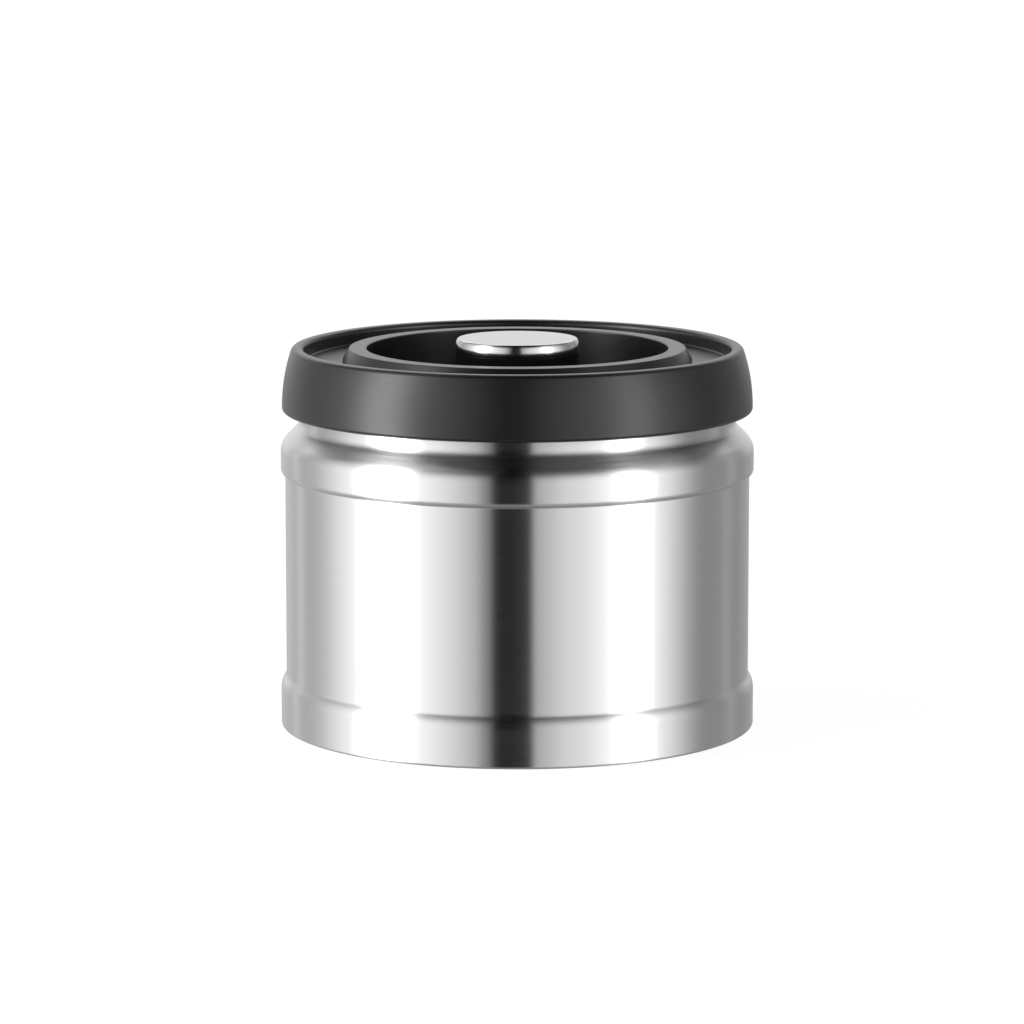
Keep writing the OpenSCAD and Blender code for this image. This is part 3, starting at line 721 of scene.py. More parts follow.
@dataclass(frozen=True)
class CanisterBody:
    """The formed steel body and the pressed base inside its foot. Sizes in millimetres."""

    body: str = "canister"
    foot_r: float = 60.611
    waist_r: float = 59.261
    collar_r: float = 60.361
    neck_r: float = 55.511
    hem_r: float = 56.111
    mouth_r: float = 54.911
    wall: float = 0.6
    foot_h: float = 13.9
    foot_ease_h: float = 4.4
    foot_share: float = 0.7
    foot_bend_r: float = 0.8
    foot_flange_w: float = 4.8
    collar_z: float = 64.65
    collar_ease_h: float = 1.8
    collar_share: float = 0.8
    shoulder_z: float = 70.729
    shoulder_r: float = 5.0
    shoulder_turn: float = 45.0
    crease_z: float = 77.65
    crease_r: float = 3.0
    rim_z: float = 90.0
    hem_h: float = 3.0
    rim_round: float = 0.4
    base_r: float = 59.711
    base_flange_h: float = 4.0
    base_bend_r: float = 1.0
    panel_low_r: float = 52.711
    panel_top_r: float = 48.422
    panel_bend_r: float = 2.799
    panel_turn: float = 50.0
    panel_rise: float = 2.0

    @staticmethod
    def _step(width: float, height: float, share: float) -> tuple[float, float, float]:
        """Works out a soft step in the sheet, made of two arcs.

        Args:
            width: How far the step goes out.
            height: How tall it is.
            share: Part of the height that the convex arc takes.

        Returns:
            The steepest angle in degrees, the convex radius and the hollow radius.
        """
        turn = 2 * math.atan(width / height)
        total = height / math.sin(turn)
        return math.degrees(turn), total * share, total * (1 - share)

    def _skin(self, depth: float) -> Outline:
        """The sheet's outline from the foot flange to the neck.

        Args:
            depth: How far below the outer face it runs.

        Returns:
            The points, from the bottom up.
        """
        foot_turn, foot_out, foot_in = self._step(
            self.foot_r - self.waist_r, self.foot_ease_h, self.foot_share)
        turn, out, hollow = self._step(self.collar_r - self.waist_r, self.collar_ease_h, self.collar_share)
        crease = self.crease_z + self.crease_r * math.tan(math.radians(self.shoulder_turn / 2))
        return (
            [(self.foot_r - self.foot_flange_w, depth)]
            + arc(self.foot_r - self.foot_bend_r, self.foot_bend_r, self.foot_bend_r - depth, -90, 0)
            + arc(self.foot_r - foot_out, self.foot_h - self.foot_ease_h, foot_out - depth, 0, foot_turn, 10)
            + arc(self.waist_r + foot_in, self.foot_h, foot_in + depth, 180 + foot_turn, 180, 10)
            + arc(self.waist_r + hollow, self.collar_z, hollow + depth, 180, 180 - turn, 12)
            + arc(self.collar_r - out, self.collar_z + self.collar_ease_h, out - depth, -turn, 0, 12)
            + arc(self.collar_r - self.shoulder_r, self.shoulder_z, self.shoulder_r - depth, 0,
                  self.shoulder_turn, 16)
            + arc(self.neck_r + self.crease_r, crease, self.crease_r + depth, 180 + self.shoulder_turn, 180)
        )

    def shell(self) -> None:
        """The formed sheet: foot flange, foot band, waist, collar, neck and folded hem."""
        rim = self.rim_z - self.rim_round
        outline = (
            self._skin(0)
            + [(self.neck_r, self.rim_z - self.hem_h), (self.hem_r, self.rim_z - self.hem_h)]
            + arc(self.hem_r - self.rim_round, rim, self.rim_round, 0, 90, 6)
            + arc(self.mouth_r + self.rim_round, rim, self.rim_round, 90, 180, 6)
            + self._skin(self.wall)[::-1]
        )
        placed(turned("formed_steel_body", eased(outline, Ease.THIN), BRUSHED_STEEL, Round.LARGE),
               self.body, BRUSHED_STEEL, "body_shell")

    def _base_skin(self, height: float) -> Outline:
        """The base's outline from its flange to the middle.

        Args:
            height: How far above the lower face it runs.

        Returns:
            The points, from the flange inwards.
        """
        return (
            [(self.base_r - height, self.wall + self.base_flange_h)]
            + arc(self.base_r - self.base_bend_r, self.wall + self.base_bend_r, self.base_bend_r - height,
                  0, -90)
            + arc(self.panel_low_r, self.wall + self.panel_bend_r, self.panel_bend_r - height, -90,
                  -90 - self.panel_turn)
            + arc(self.panel_top_r, self.wall + self.panel_rise - self.panel_bend_r,
                  self.panel_bend_r + height, 90 - self.panel_turn, 90)
            + [(0.0, self.wall + self.panel_rise + height)]
        )

    def base(self) -> None:
        """The pressed base: a flange inside the foot, and a raised panel."""
        outline = self._base_skin(0) + self._base_skin(self.wall)[::-1]
        placed(turned("pressed_steel_base", eased(outline, Ease.THIN), BRUSHED_STEEL, Round.LARGE),
               self.body, BRUSHED_STEEL, "base_disc")

    def build(self) -> None:
        """Makes both pieces."""
        self.shell()
        self.base()


# Screws


@dataclass(frozen=True)
class PanScrew:
    """A pan head screw with a cross recess that points up. Sizes in millimetres."""

    head_r: float = 2.7
    head_h: float = 1.8
    shank_r: float = 1.4
    length: float = 7.6
    pitch: float = 0.5
    thread_depth: float = 0.2
    side_share: float = 0.3
    seat_share: float = 0.98
    root_share: float = 0.45
    crest_share: float = 0.05
    runout_share: float = 0.6
    tip_h: float = 0.2
    tip_share: float = 0.5
    end_share: float = 0.35
    slot_w_share: float = 0.11
    slot_share: float = 0.55
    slot_ease: float = 0.1

    def _outline(self) -> Outline:
        """Half of the screw, its head below z = 0 and its shank with thread ridges above.

        Returns:
            The points in order.
        """
        side_z = -self.head_h * self.side_share
        crown_h = self.head_h * (1 - self.side_share)
        crown = arc(0.0, side_z, 1.0, -90, 0, 10)
        head = [(x * self.head_r, side_z + (z - side_z) * crown_h) for x, z in crown]
        turns = int((self.length - self.shank_r - self.pitch) / self.pitch)
        root_r = self.shank_r - self.thread_depth
        ridges: Outline = []
        for i in range(turns):
            z = self.pitch * (i + 1)
            ridges += [(root_r, z - self.pitch * self.root_share),
                       (self.shank_r, z - self.pitch * self.crest_share),
                       (self.shank_r, z + self.pitch * self.crest_share)]
        tip = [(root_r, self.pitch * (turns + self.runout_share)),
               (self.shank_r * self.tip_share, self.length - self.tip_h),
               (self.shank_r * self.end_share, self.length)]
        return (
            [(0.0, -self.head_h)] + head[1:] + [(self.head_r * self.seat_share, 0.0), (self.shank_r, 0.0)]
            + ridges + tip + [(0.0, self.length)]
        )

    def set_of(self, name: str, z: float, count: int, radius: float, turn: float = 0.0) -> bpy.types.Object:
        """Makes equal screws that stand round the axis.

        Args:
            name: Name of the piece.
            z: Height of the underside of the heads.
            count: Number of screws.
            radius: Distance of each from the axis.
            turn: Angle of the first, in degrees.

        Returns:
            One piece that holds every screw.
        """
        screw = turned(name, self._outline(), SCREW_STEEL, Round.TINY)
        width, reach = self.head_r * self.slot_w_share, self.head_r * self.slot_share
        low, high = -self.head_h - OVERRUN, self.head_h * (self.slot_share - 1)
        for label, x, y in (("long", reach, width), ("cross", width, reach)):
            tool = block(f"{name}_{label}", (-x, -y, low), (x, y, high), SCREW_STEEL, self.slot_ease)
            joined(screw, Joining.DIFFERENCE, tool)
        return round_axis(moved(screw, z=z), count, radius, SCREW_STEEL, turn)


# Lid


@dataclass(frozen=True)
class Lid:
    """The black lid, its grip ring, the cover under it, the gasket and the cover's screws.

    Sizes in millimetres.
    """

    body: str = "lid"
    well_r: float = 38.4
    well_z: float = 86.06
    well_under: float = 84.06
    well_out_r: float = 41.8
    well_round: float = 1.0
    bore_r: float = 16.15
    bore_chamfer: float = 0.4
    liner_r: float = 40.0
    channel_r: float = 54.32
    channel_z: float = 93.4
    channel_fillet: float = 0.5
    rim_top: float = 97.35
    rim_lean: float = 0.1
    rim_in_round: float = 1.3
    rim_out_round: float = 1.5
    rim_round_x: float = 56.281
    rim_turn: float = 18.427
    crown_x: float = 15.011
    crown_z: float = 82.1
    crown_r: float = 45.0
    lid_r: float = 60.011
    skirt_z: float = 81.0
    skirt_wall: float = 2.1
    skirt_edge_r: float = 1.1
    skirt_top_in: float = 56.911
    under_z: float = 91.4
    boss_r: float = 3.0
    collar_in_r: float = 21.2
    collar_out_r: float = 22.8
    collar_h: float = 3.6
    lug_circle_r: float = 26.5
    lug_z: float = 77.56
    lug_turn: float = 45.0
    lugs: int = 4
    socket_r: float = 1.45
    cover_socket_h: float = 6.6
    pump_socket_h: float = 6.2
    cover_screw_r: float = 46.456
    cover_screws: int = 6
    cover_z: float = 79.66
    cover_top: float = 81.26
    cover_r: float = 53.111
    cover_in_r: float = 51.111
    cover_hole_r: float = 30.0
    cover_bend_r: float = 3.0
    cover_lip_w: float = 1.4
    cover_lip_h: float = 1.6
    screw_hole_r: float = 1.6
    ring_top: float = 97.06
    ring_wall: float = 1.4
    ring_turn: float = 29.846
    ring_foot_x: float = 44.037
    ring_foot_r: float = 0.5
    ring_edge_x: float = 42.597
    ring_edge_r: float = 0.35
    hollow_foot_r: float = 43.286
    hollow_top_r: float = 41.989
    peg_circle_r: float = 41.543
    pegs: int = 6
    peg_r: float = 1.1
    peg_h: float = 1.2
    peg_hole_h: float = 1.4
    peg_gap: float = 0.1
    rim_z: float = 90.0
    lip_out_r: float = 54.611
    lip_in_r: float = 53.411
    lip_h: float = 2.4
    gasket_r: float = 56.411
    stem_hole_r: float = 2.1
    slot_l: float = 6.8
    slot_w: float = 1.2

    def _shell_outline(self) -> Outline:
        """The lid's section: bore, well, channel, rounded rim, crowned skirt and underside.

        Returns:
            The points in order.
        """
        rim_round_z = self.rim_top - self.rim_out_round
        return (
            [(self.bore_r, self.well_under), (self.bore_r, self.well_z - self.bore_chamfer),
             (self.bore_r + self.bore_chamfer, self.well_z), (self.liner_r, self.well_z),
             (self.liner_r, self.channel_z)]
            + arc(self.channel_r - self.channel_fillet, self.channel_z + self.channel_fillet,
                  self.channel_fillet, -90, 0, 8)
            + arc(self.channel_r + self.rim_lean + self.rim_in_round, self.rim_top - self.rim_in_round,
                  self.rim_in_round, 180, 90, 12)
            + arc(self.rim_round_x, rim_round_z, self.rim_out_round, 90, self.rim_turn, 12)
            + arc(self.crown_x, self.crown_z, self.crown_r, self.rim_turn, 0, 28)
            + arc(self.lid_r - self.skirt_edge_r, self.crown_z, self.skirt_edge_r, 0, -90, 8)
            + [(self.lid_r - self.skirt_wall, self.skirt_z), (self.skirt_top_in, self.under_z),
               (self.well_out_r, self.under_z)]
            + arc(self.well_out_r - self.well_round, self.well_under + self.well_round, self.well_round,
                  0, -90, 8)
        )

    def _boss(self, name: str, low: float, high: float) -> bpy.types.Object:
        """A screw boss that hangs under the lid, from low to high."""
        return turned(name, eased(rod(self.boss_r, low, high), Ease.MOULDED), SATIN_POLYPROPYLENE,
                      Round.TINY)

    def _socket(self, name: str, low: float, depth: float, radius: float) -> bpy.types.Object:
        """The blank of a round hole that opens downwards at low."""
        return turned(name, rod(radius, low - OVERRUN, low + depth), SATIN_POLYPROPYLENE, Round.TINY)

    def shell(self) -> None:
        """The moulded lid with its bosses, sockets and air slots."""
        made = SATIN_POLYPROPYLENE
        piece = turned("moulded_lid", eased(self._shell_outline(), Ease.LIGHT), made, Round.LARGE)
        collar_z = self.well_under - self.collar_h
        top = self.well_under + OVERRUN
        collar = turned("lid_collar", eased([
            (self.collar_in_r, collar_z), (self.collar_out_r, collar_z), (self.collar_out_r, top),
            (self.collar_in_r, top)], Ease.SMALL), made, Round.MIDDLE)
        joined(
            piece, Joining.UNION, collar,
            round_axis(self._boss("cover_boss", self.cover_top, self.under_z + OVERRUN),
                       self.cover_screws, self.cover_screw_r, made),
            round_axis(self._boss("pump_boss", self.lug_z, top), self.lugs, self.lug_circle_r, made,
                       self.lug_turn))
        joined(
            piece, Joining.DIFFERENCE,
            round_axis(self._socket("cover_socket", self.cover_top, self.cover_socket_h, self.socket_r),
                       self.cover_screws, self.cover_screw_r, made),
            round_axis(self._socket("pump_socket", self.lug_z, self.pump_socket_h, self.socket_r), self.lugs,
                       self.lug_circle_r, made, self.lug_turn),
            round_axis(self._socket("peg_hole", self.channel_z - self.peg_hole_h, self.peg_hole_h + OVERRUN,
                                    self.peg_r + self.peg_gap), self.pegs, self.peg_circle_r, made),
            moved(self._socket("stem_hole", self.well_under, self.well_z - self.well_under + OVERRUN,
                               self.stem_hole_r), y=self.lug_circle_r))
        half_l, half_w = self.slot_l / 2, self.slot_w / 2
        low, high = self.well_under - OVERRUN, self.well_z + OVERRUN
        for label, x, y in (("across", half_l, half_w), ("along", half_w, half_l)):
            joined(piece, Joining.DIFFERENCE, moved(
                block(f"slot_{label}", (-x, -y, low), (x, y, high), made), y=self.lug_circle_r))
        placed(piece, self.body, made, "lid_shell")

    def ring(self) -> None:
        """The raised ring with its sleeve down the well, and its pegs."""
        top = self.ring_top - self.ring_edge_r
        outline = (
            arc(self.ring_foot_x, self.channel_z + self.ring_foot_r, self.ring_foot_r, -90, self.ring_turn,
                10)
            + arc(self.ring_edge_x, top, self.ring_edge_r, self.ring_turn, 90, 6)
            + arc(self.well_r + self.ring_edge_r, top, self.ring_edge_r, 90, 180, 8)
            + [(self.well_r, self.well_z), (self.well_r + self.ring_wall, self.well_z),
               (self.well_r + self.ring_wall, self.ring_top - self.ring_wall),
               (self.hollow_top_r, self.ring_top - self.ring_wall), (self.hollow_foot_r, self.channel_z)]
        )
        piece = turned("moulded_grip_ring", eased(outline, Ease.THIN), SATIN_POLYPROPYLENE, Round.LARGE)
        peg = rod(self.peg_r, self.channel_z - self.peg_h, self.ring_top - self.ring_wall + OVERRUN)
        peg = turned("ring_peg", eased(peg, Ease.LIGHT), SATIN_POLYPROPYLENE, Round.TINY)
        joined(piece, Joining.UNION, round_axis(peg, self.pegs, self.peg_circle_r, SATIN_POLYPROPYLENE))
        placed(piece, self.body, SATIN_POLYPROPYLENE, "grip_ring")

    def cover(self) -> None:
        """The ring-shaped cover under the lid."""
        outline = (
            [(self.cover_hole_r, self.cover_z)]
            + arc(self.cover_r - self.cover_bend_r, self.cover_z + self.cover_bend_r, self.cover_bend_r,
                  -90, 0)
            + [(self.cover_r, self.rim_z), (self.cover_in_r, self.rim_z), (self.cover_in_r, self.cover_top),
               (self.cover_hole_r + self.cover_lip_w, self.cover_top),
               (self.cover_hole_r + self.cover_lip_w, self.cover_top + self.cover_lip_h),
               (self.cover_hole_r, self.cover_top + self.cover_lip_h)]
        )
        piece = turned("moulded_under_cover", eased(outline, Ease.MOULDED), MATT_POLYPROPYLENE, Round.LARGE)
        holes = self._socket("cover_hole", self.cover_z, self.cover_top - self.cover_z + OVERRUN,
                             self.screw_hole_r)
        joined(piece, Joining.DIFFERENCE,
               round_axis(holes, self.cover_screws, self.cover_screw_r, MATT_POLYPROPYLENE))
        placed(piece, self.body, MATT_POLYPROPYLENE, "underside_cover")

    def gasket(self) -> None:
        """The silicone gasket: flat over the rim, with a lip inside the mouth."""
        low = self.rim_z - self.lip_h
        outline = [
            (self.cover_in_r, self.under_z), (self.cover_in_r, self.rim_z), (self.lip_in_r, self.rim_z),
            (self.lip_in_r, low), (self.lip_out_r, low), (self.lip_out_r, self.rim_z),
            (self.gasket_r, self.rim_z), (self.gasket_r, self.under_z)]
        placed(turned("silicone_gasket", eased(outline, Ease.SOFT), MILKY_SILICONE, Round.LARGE),
               self.body, MILKY_SILICONE, "main_gasket")

    def screws(self) -> None:
        """The screws that hold the cover."""
        piece = PanScrew().set_of("cover_pan_screws", self.cover_z, self.cover_screws, self.cover_screw_r)
        placed(piece, self.body, SCREW_STEEL, "cover_screws")

    def build(self) -> None:
        """Makes the five pieces."""
        self.shell()
        self.ring()
        self.cover()
        self.gasket()
        self.screws()


# Umbrella valves


@dataclass(frozen=True)
class UmbrellaValve:
    """A silicone flap with a stem through a plate. Sizes in millimetres."""

    flap_r: float
    plate_z: float
    plate_t: float = 2.0
    flap_t: float = 1.5
    edge_t: float = 0.5
    stem_r: float = 1.2
    bulb_r: float = 1.9
    bulb_h: float = 2.4
    flat_share: float = 0.3
    bulb_share: float = 0.35
    stem_gap: float = 0.1
    port_share: float = 0.22
    ports: int = 6

    def outline(self) -> Outline:
        """Half of the valve, its flap on the plate's top face.

        Returns:
            The points in order.
        """
        low = self.plate_z - self.plate_t
        return eased([
            (0.0, self.plate_z + self.flap_t), (self.flap_r * self.flat_share, self.plate_z + self.flap_t),
            (self.flap_r, self.plate_z + self.edge_t), (self.flap_r, self.plate_z),
            (self.stem_r, self.plate_z), (self.stem_r, low),
            (self.bulb_r, low - self.bulb_h * self.bulb_share),
            (self.stem_r, low - self.bulb_h), (0.0, low - self.bulb_h)], Ease.SOFTEST)

    def holes(self, name: str, finish: Finish) -> list[bpy.types.Object]:
        """Makes the blanks of the holes in the valve's plate.

        Args:
            name: What the blanks' names start with.
            finish: What the plate is made of.

        Returns:
            The stem's hole, and the ports that the flap covers.
        """
        hole_r = self.stem_r + self.stem_gap
        low, high = self.plate_z - self.plate_t - OVERRUN, self.plate_z + OVERRUN
        bore = turned(f"{name}_bore", rod(hole_r, low, high), finish, Round.TINY)
        port = rod((self.flap_r - hole_r) * self.port_share, low, high)
        ports = turned(f"{name}_port", port, finish, Round.TINY)
        return [bore, round_axis(ports, self.ports, (hole_r + self.flap_r) / 2, finish)]


# Pump


@dataclass(frozen=True)
class Pump:
    """The pump cylinder under the well with its seal, screws, inlet and spring. Sizes in millimetres."""

    body: str = "lid"
    floor_z: float = 67.36
    under_z: float = 65.36
    bore_r: float = 17.5
    tube_r: float = 19.3
    top_z: float = 84.06
    step_z: float = 82.16
    step_h: float = 1.6
    step_r: float = 21.05
    lug_disc_r: float = 23.1
    lug_z: float = 77.56
    lug_t: float = 2.0
    lug_r: float = 3.4
    lug_w: float = 6.0
    lugs: int = 4
    lug_circle_r: float = 26.5
    lug_turn: float = 45.0
    screw_hole_r: float = 1.6
    socket_r: float = 17.0
    socket_z: float = 62.76
    seal_x: float = 20.25
    seal_z: float = 83.11
    seal_r: float = 0.9
    guard_r: float = 16.9
    guard_in_r: float = 15.5
    guard_top: float = 61.76
    guard_t: float = 1.2
    hole_r: float = 0.9
    hole_rows: int = 3
    hole_step: float = 3.875
    filter_t: float = 0.6
    wire_r: float = 0.45
    spring_r: float = 11.95
    spring_low: float = 67.91
    spring_high: float = 81.31
    spring_turns: int = 4
    closed_rise: float = 1.15
    spring_foot: float = 67.46
    pressed_share: float = 0.3706
    felt_gap: float = 0.1
    row_holes: int = 6
    flats_per_turn: int = 48
    wire_sides: int = 16
    inlet: UmbrellaValve = UmbrellaValve(7.0, 67.36)

    def cylinder(self) -> None:
        """The moulded tube with its floor, ears, ports and socket."""
        made = NATURAL_POLYPROPYLENE
        low = self.lug_z - self.lug_t
        outline = [
            (0.0, self.under_z), (self.socket_r, self.under_z), (self.socket_r, self.socket_z),
            (self.tube_r, self.socket_z), (self.tube_r, low), (self.lug_disc_r, low),
            (self.lug_disc_r, self.lug_z), (self.tube_r, self.lug_z),
            (self.tube_r, self.step_z - self.step_h), (self.step_r, self.step_z - self.step_h),
            (self.step_r, self.step_z), (self.tube_r, self.step_z), (self.tube_r, self.top_z),
            (self.bore_r, self.top_z), (self.bore_r, self.floor_z), (0.0, self.floor_z)]
        piece = turned("moulded_pump_cylinder", eased(outline, Ease.MOULDED), made, Round.MIDDLE)
        reach = self.lug_circle_r - self.tube_r
        ear = turned("pump_ear", eased(rod(self.lug_r, low, self.lug_z), Ease.SMALL), made, Round.TINY)
        web = block("pump_web", (-reach, -self.lug_w / 2, low), (0.0, self.lug_w / 2, self.lug_z), made)
        joined(ear, Joining.UNION, web)
        hole = rod(self.screw_hole_r, low - OVERRUN, self.lug_z + OVERRUN)
        joined(ear, Joining.DIFFERENCE, turned("pump_hole", hole, made, Round.TINY))
        joined(piece, Joining.UNION, round_axis(ear, self.lugs, self.lug_circle_r, made, self.lug_turn))
        joined(piece, Joining.DIFFERENCE, *self.inlet.holes("inlet", made))
        placed(piece, self.body, made, "pump_cylinder")

    def seal(self) -> None:
        """The O-ring round the top of the cylinder."""
        # The outline closes by itself, so the arc stops one flat short of the whole turn.
        outline = arc(self.seal_x, self.seal_z, self.seal_r, 0, 345, 23)
        placed(turned("o_ring", outline, NITRILE_RUBBER, Round.MIDDLE), self.body, NITRILE_RUBBER,
               "cylinder_seal")

    def screws(self) -> None:
        """The screws that hold the cylinder."""
        piece = PanScrew().set_of("pump_pan_screws", self.lug_z - self.lug_t, self.lugs,
                                  self.lug_circle_r, self.lug_turn)
        placed(piece, self.body, SCREW_STEEL, "cylinder_screws")

    def inlet_parts(self) -> None:
        """The inlet's umbrella valve, its felt, and the perforated guard."""
        placed(turned("inlet_umbrella", self.inlet.outline(), MILKY_SILICONE, Round.SMALL), self.body,
               MILKY_SILICONE, "inlet_valve")
        felt = rod(self.guard_in_r - self.felt_gap, self.guard_top, self.guard_top + self.filter_t)
        placed(turned("felt_disc", eased(felt, Ease.SMALL), NEEDLE_FELT, Round.SMALL), self.body,
               NEEDLE_FELT, "inlet_filter")
        low = self.guard_top - self.guard_t
        guard = turned("moulded_guard", eased([
            (0.0, low), (self.guard_r, low), (self.guard_r, self.under_z), (self.guard_in_r, self.under_z),
            (self.guard_in_r, self.guard_top), (0.0, self.guard_top)], Ease.FULL), MATT_POLYPROPYLENE,
            Round.MIDDLE)
        blank = rod(self.hole_r, low - OVERRUN, self.guard_top + OVERRUN)
        joined(guard, Joining.DIFFERENCE, turned("guard_hole", blank, MATT_POLYPROPYLENE, Round.TINY))
        for row in range(1, self.hole_rows + 1):
            hole = turned(f"guard_row_{row}", blank, MATT_POLYPROPYLENE, Round.TINY)
            joined(guard, Joining.DIFFERENCE,
                   round_axis(hole, self.row_holes * row, row * self.hole_step, MATT_POLYPROPYLENE))
        placed(guard, self.body, MATT_POLYPROPYLENE, "inlet_guard")

    def _rise(self, turn: float) -> float:
        """Works out how high the wire stands: it has closed ends, and open coils between them.

        Args:
            turn: Number of turns from the lower end.

        Returns:
            Height of the wire's middle.
        """
        open_turns = self.spring_turns - 2
        open_rise = (self.spring_high - self.spring_low - 2 * self.closed_rise) / open_turns
        return (self.spring_low + self.closed_rise * (min(turn, 1) + max(0.0, turn - 1 - open_turns))
                + open_rise * max(0.0, min(turn - 1, open_turns)))

    def spring(self) -> None:
        """The return spring, made at its length at rest."""
        points = []
        for i in range(self.spring_turns * self.flats_per_turn + 1):
            turn = i / self.flats_per_turn
            angle = math.tau * turn
            points.append((
                self.spring_r * math.cos(angle), self.spring_r * math.sin(angle), self._rise(turn)))
        piece = drawn("coil_spring", points, [(i, i + 1) for i in range(len(points) - 1)])
        noded(piece, Trees.wire(), {
            "Radius": self.wire_r * MM, "Sides": self.wire_sides, "Crease angle": CREASE,
            "Finish": DRAWN_WIRE.material()})
        placed(piece, self.body, DRAWN_WIRE, "return_spring")
        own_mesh(piece)

    def build(self) -> None:
        """Makes the seven pieces."""
        self.cylinder()
        self.seal()
        self.screws()
        self.inlet_parts()
        self.spring()


# Button and piston


@dataclass(frozen=True)
class PushButton:
    """The capped button, and the piston screwed to its foot. Sizes in millimetres."""

    body: str = "button"
    button_r: float = 15.85
    inner_r: float = 14.05
    top_z: float = 99.36
    cap_z: float = 95.96
    cap_in_r: float = 15.05
    cap_wall: float = 0.8
    cap_fit: float = 0.05
    edge_w: float = 0.9
    edge_h: float = 2.6
    edge_steps: int = 16
    crown_t: float = 2.0
    stop_z: float = 83.86
    crown_z: float = 81.86
    groove_z: float = 79.06
    piston_z: float = 77.86
    piston_r: float = 17.2
    core_r: float = 14.6
    hollow_r: float = 13.2
    spigot_out_r: float = 13.9
    spigot_in_r: float = 12.4
    spigot_h: float = 2.6
    screw_r: float = 9.1
    screws: int = 3
    boss_r: float = 2.2
    socket_r: float = 1.15
    socket_h: float = 5.6
    notch_w: float = 3.0
    notch_h: float = 1.0
    notch_l: float = 4.6
    notches: int = 4
    hole_r: float = 1.3
    seal_in_r: float = 14.65
    seal_out_r: float = 17.4
    seal_gap: float = 0.05
    seal_foot_share: float = 0.34
    seal_vee_share: float = 0.45
    seal_lean: float = 0.1
    outlet: UmbrellaValve = UmbrellaValve(3.8, 83.86)

    def cap(self) -> None:
        """The bright cap: a flat top, a round edge and a short side."""
        edge = []
        for i in range(self.edge_steps + 1):
            turn = math.radians(90 - 90 * i / self.edge_steps)
            edge.append((self.button_r - self.edge_w * (1 - math.cos(turn)),
                         self.top_z - self.edge_h * (1 - math.sin(turn))))
        outline = (
            [(0.0, self.top_z)] + edge
            + [(self.button_r, self.cap_z), (self.cap_in_r, self.cap_z),
               (self.cap_in_r, self.top_z - self.cap_wall), (0.0, self.top_z - self.cap_wall)])
        placed(turned("plated_cap", eased(outline, Ease.CRISP), BRIGHT_NICKEL, Round.LARGE), self.body,
               BRIGHT_NICKEL, "button_cap")

    def stem(self) -> None:
        """The black cylinder under the cap, with its screw bosses and air notches."""
        made = GLOSS_ABS
        seat_r, seat_z = self.cap_in_r - self.cap_fit, self.top_z - self.cap_wall - self.cap_fit
        inside = seat_z - self.crown_t
        outline = [
            (self.inner_r, self.stop_z), (self.button_r, self.stop_z), (self.button_r, self.cap_z),
            (seat_r, self.cap_z), (seat_r, seat_z), (0.0, seat_z), (0.0, inside), (self.inner_r, inside)]
        piece = turned("moulded_button", eased(outline, Ease.CRISP), made, Round.LARGE)
        low = self.stop_z - OVERRUN
        boss = turned("button_boss", rod(self.boss_r, self.stop_z, inside + OVERRUN), made, Round.TINY)
        joined(piece, Joining.UNION, round_axis(boss, self.screws, self.screw_r, made))
        socket = turned("button_socket", rod(self.socket_r, low, self.stop_z + self.socket_h), made,
                        Round.TINY)
        notch = block("button_notch", (-self.notch_l / 2, -self.notch_w / 2, low),
                      (self.notch_l / 2, self.notch_w / 2, self.stop_z + self.notch_h), made)
        joined(piece, Joining.DIFFERENCE, round_axis(socket, self.screws, self.screw_r, made),
               round_axis(notch, self.notches, self.button_r, made))
        placed(piece, self.body, made, "button_body")

    def piston(self) -> None:
        """The piston: crown, stop, groove for the seal and the spigot that centres it in the button."""
        made = NATURAL_POLYPROPYLENE
        spigot_z = self.stop_z + self.spigot_h
        outline = [
            (0.0, self.crown_z), (self.hollow_r, self.crown_z), (self.hollow_r, self.piston_z),
            (self.piston_r, self.piston_z), (self.piston_r, self.groove_z), (self.core_r, self.groove_z),
            (self.core_r, self.crown_z), (self.piston_r, self.crown_z), (self.piston_r, self.stop_z),
            (self.spigot_out_r, self.stop_z), (self.spigot_out_r, spigot_z), (self.spigot_in_r, spigot_z),
            (self.spigot_in_r, self.stop_z), (0.0, self.stop_z)]
        piece = turned("moulded_piston", eased(outline, Ease.MIDDLE), made, Round.MIDDLE)
        hole = turned("piston_hole", rod(self.hole_r, self.crown_z - OVERRUN, self.stop_z + OVERRUN), made,
                      Round.TINY)
        joined(piece, Joining.DIFFERENCE, round_axis(hole, self.screws, self.screw_r, made),
               *self.outlet.holes("outlet", made))
        placed(piece, self.body, made, "piston")

    def seal(self) -> None:
        """The lip seal in the piston's groove."""
        low, high = self.groove_z + self.seal_gap, self.crown_z - self.seal_gap
        width = self.seal_out_r - self.seal_in_r
        foot = width * self.seal_foot_share
        outline = [
            (self.seal_in_r, low), (self.seal_in_r + foot, low),
            (self.seal_in_r + width / 2, low + (high - low) * self.seal_vee_share),
            (self.seal_out_r - foot, low), (self.seal_out_r, low), (self.seal_out_r, (low + high) / 2),
            (self.seal_out_r - self.seal_lean, high), (self.seal_in_r, high)]
        placed(turned("lip_seal", eased(outline, Ease.MIDDLE), NITRILE_RUBBER, Round.MIDDLE), self.body,
               NITRILE_RUBBER, "piston_seal")

    def build(self) -> None:
        """Makes the six pieces."""
        self.cap()
        self.stem()
        self.piston()
        self.seal()
        placed(turned("outlet_umbrella", self.outlet.outline(), MILKY_SILICONE, Round.SMALL), self.body,
               MILKY_SILICONE, "outlet_valve")
        screw = PanScrew(head_r=2.0, head_h=1.4, shank_r=1.1, length=7.0, pitch=0.4, thread_depth=0.16)
        placed(screw.set_of("piston_pan_screws", self.crown_z, self.screws, self.screw_r), self.body,
               SCREW_STEEL, "piston_screws")


# Release valve


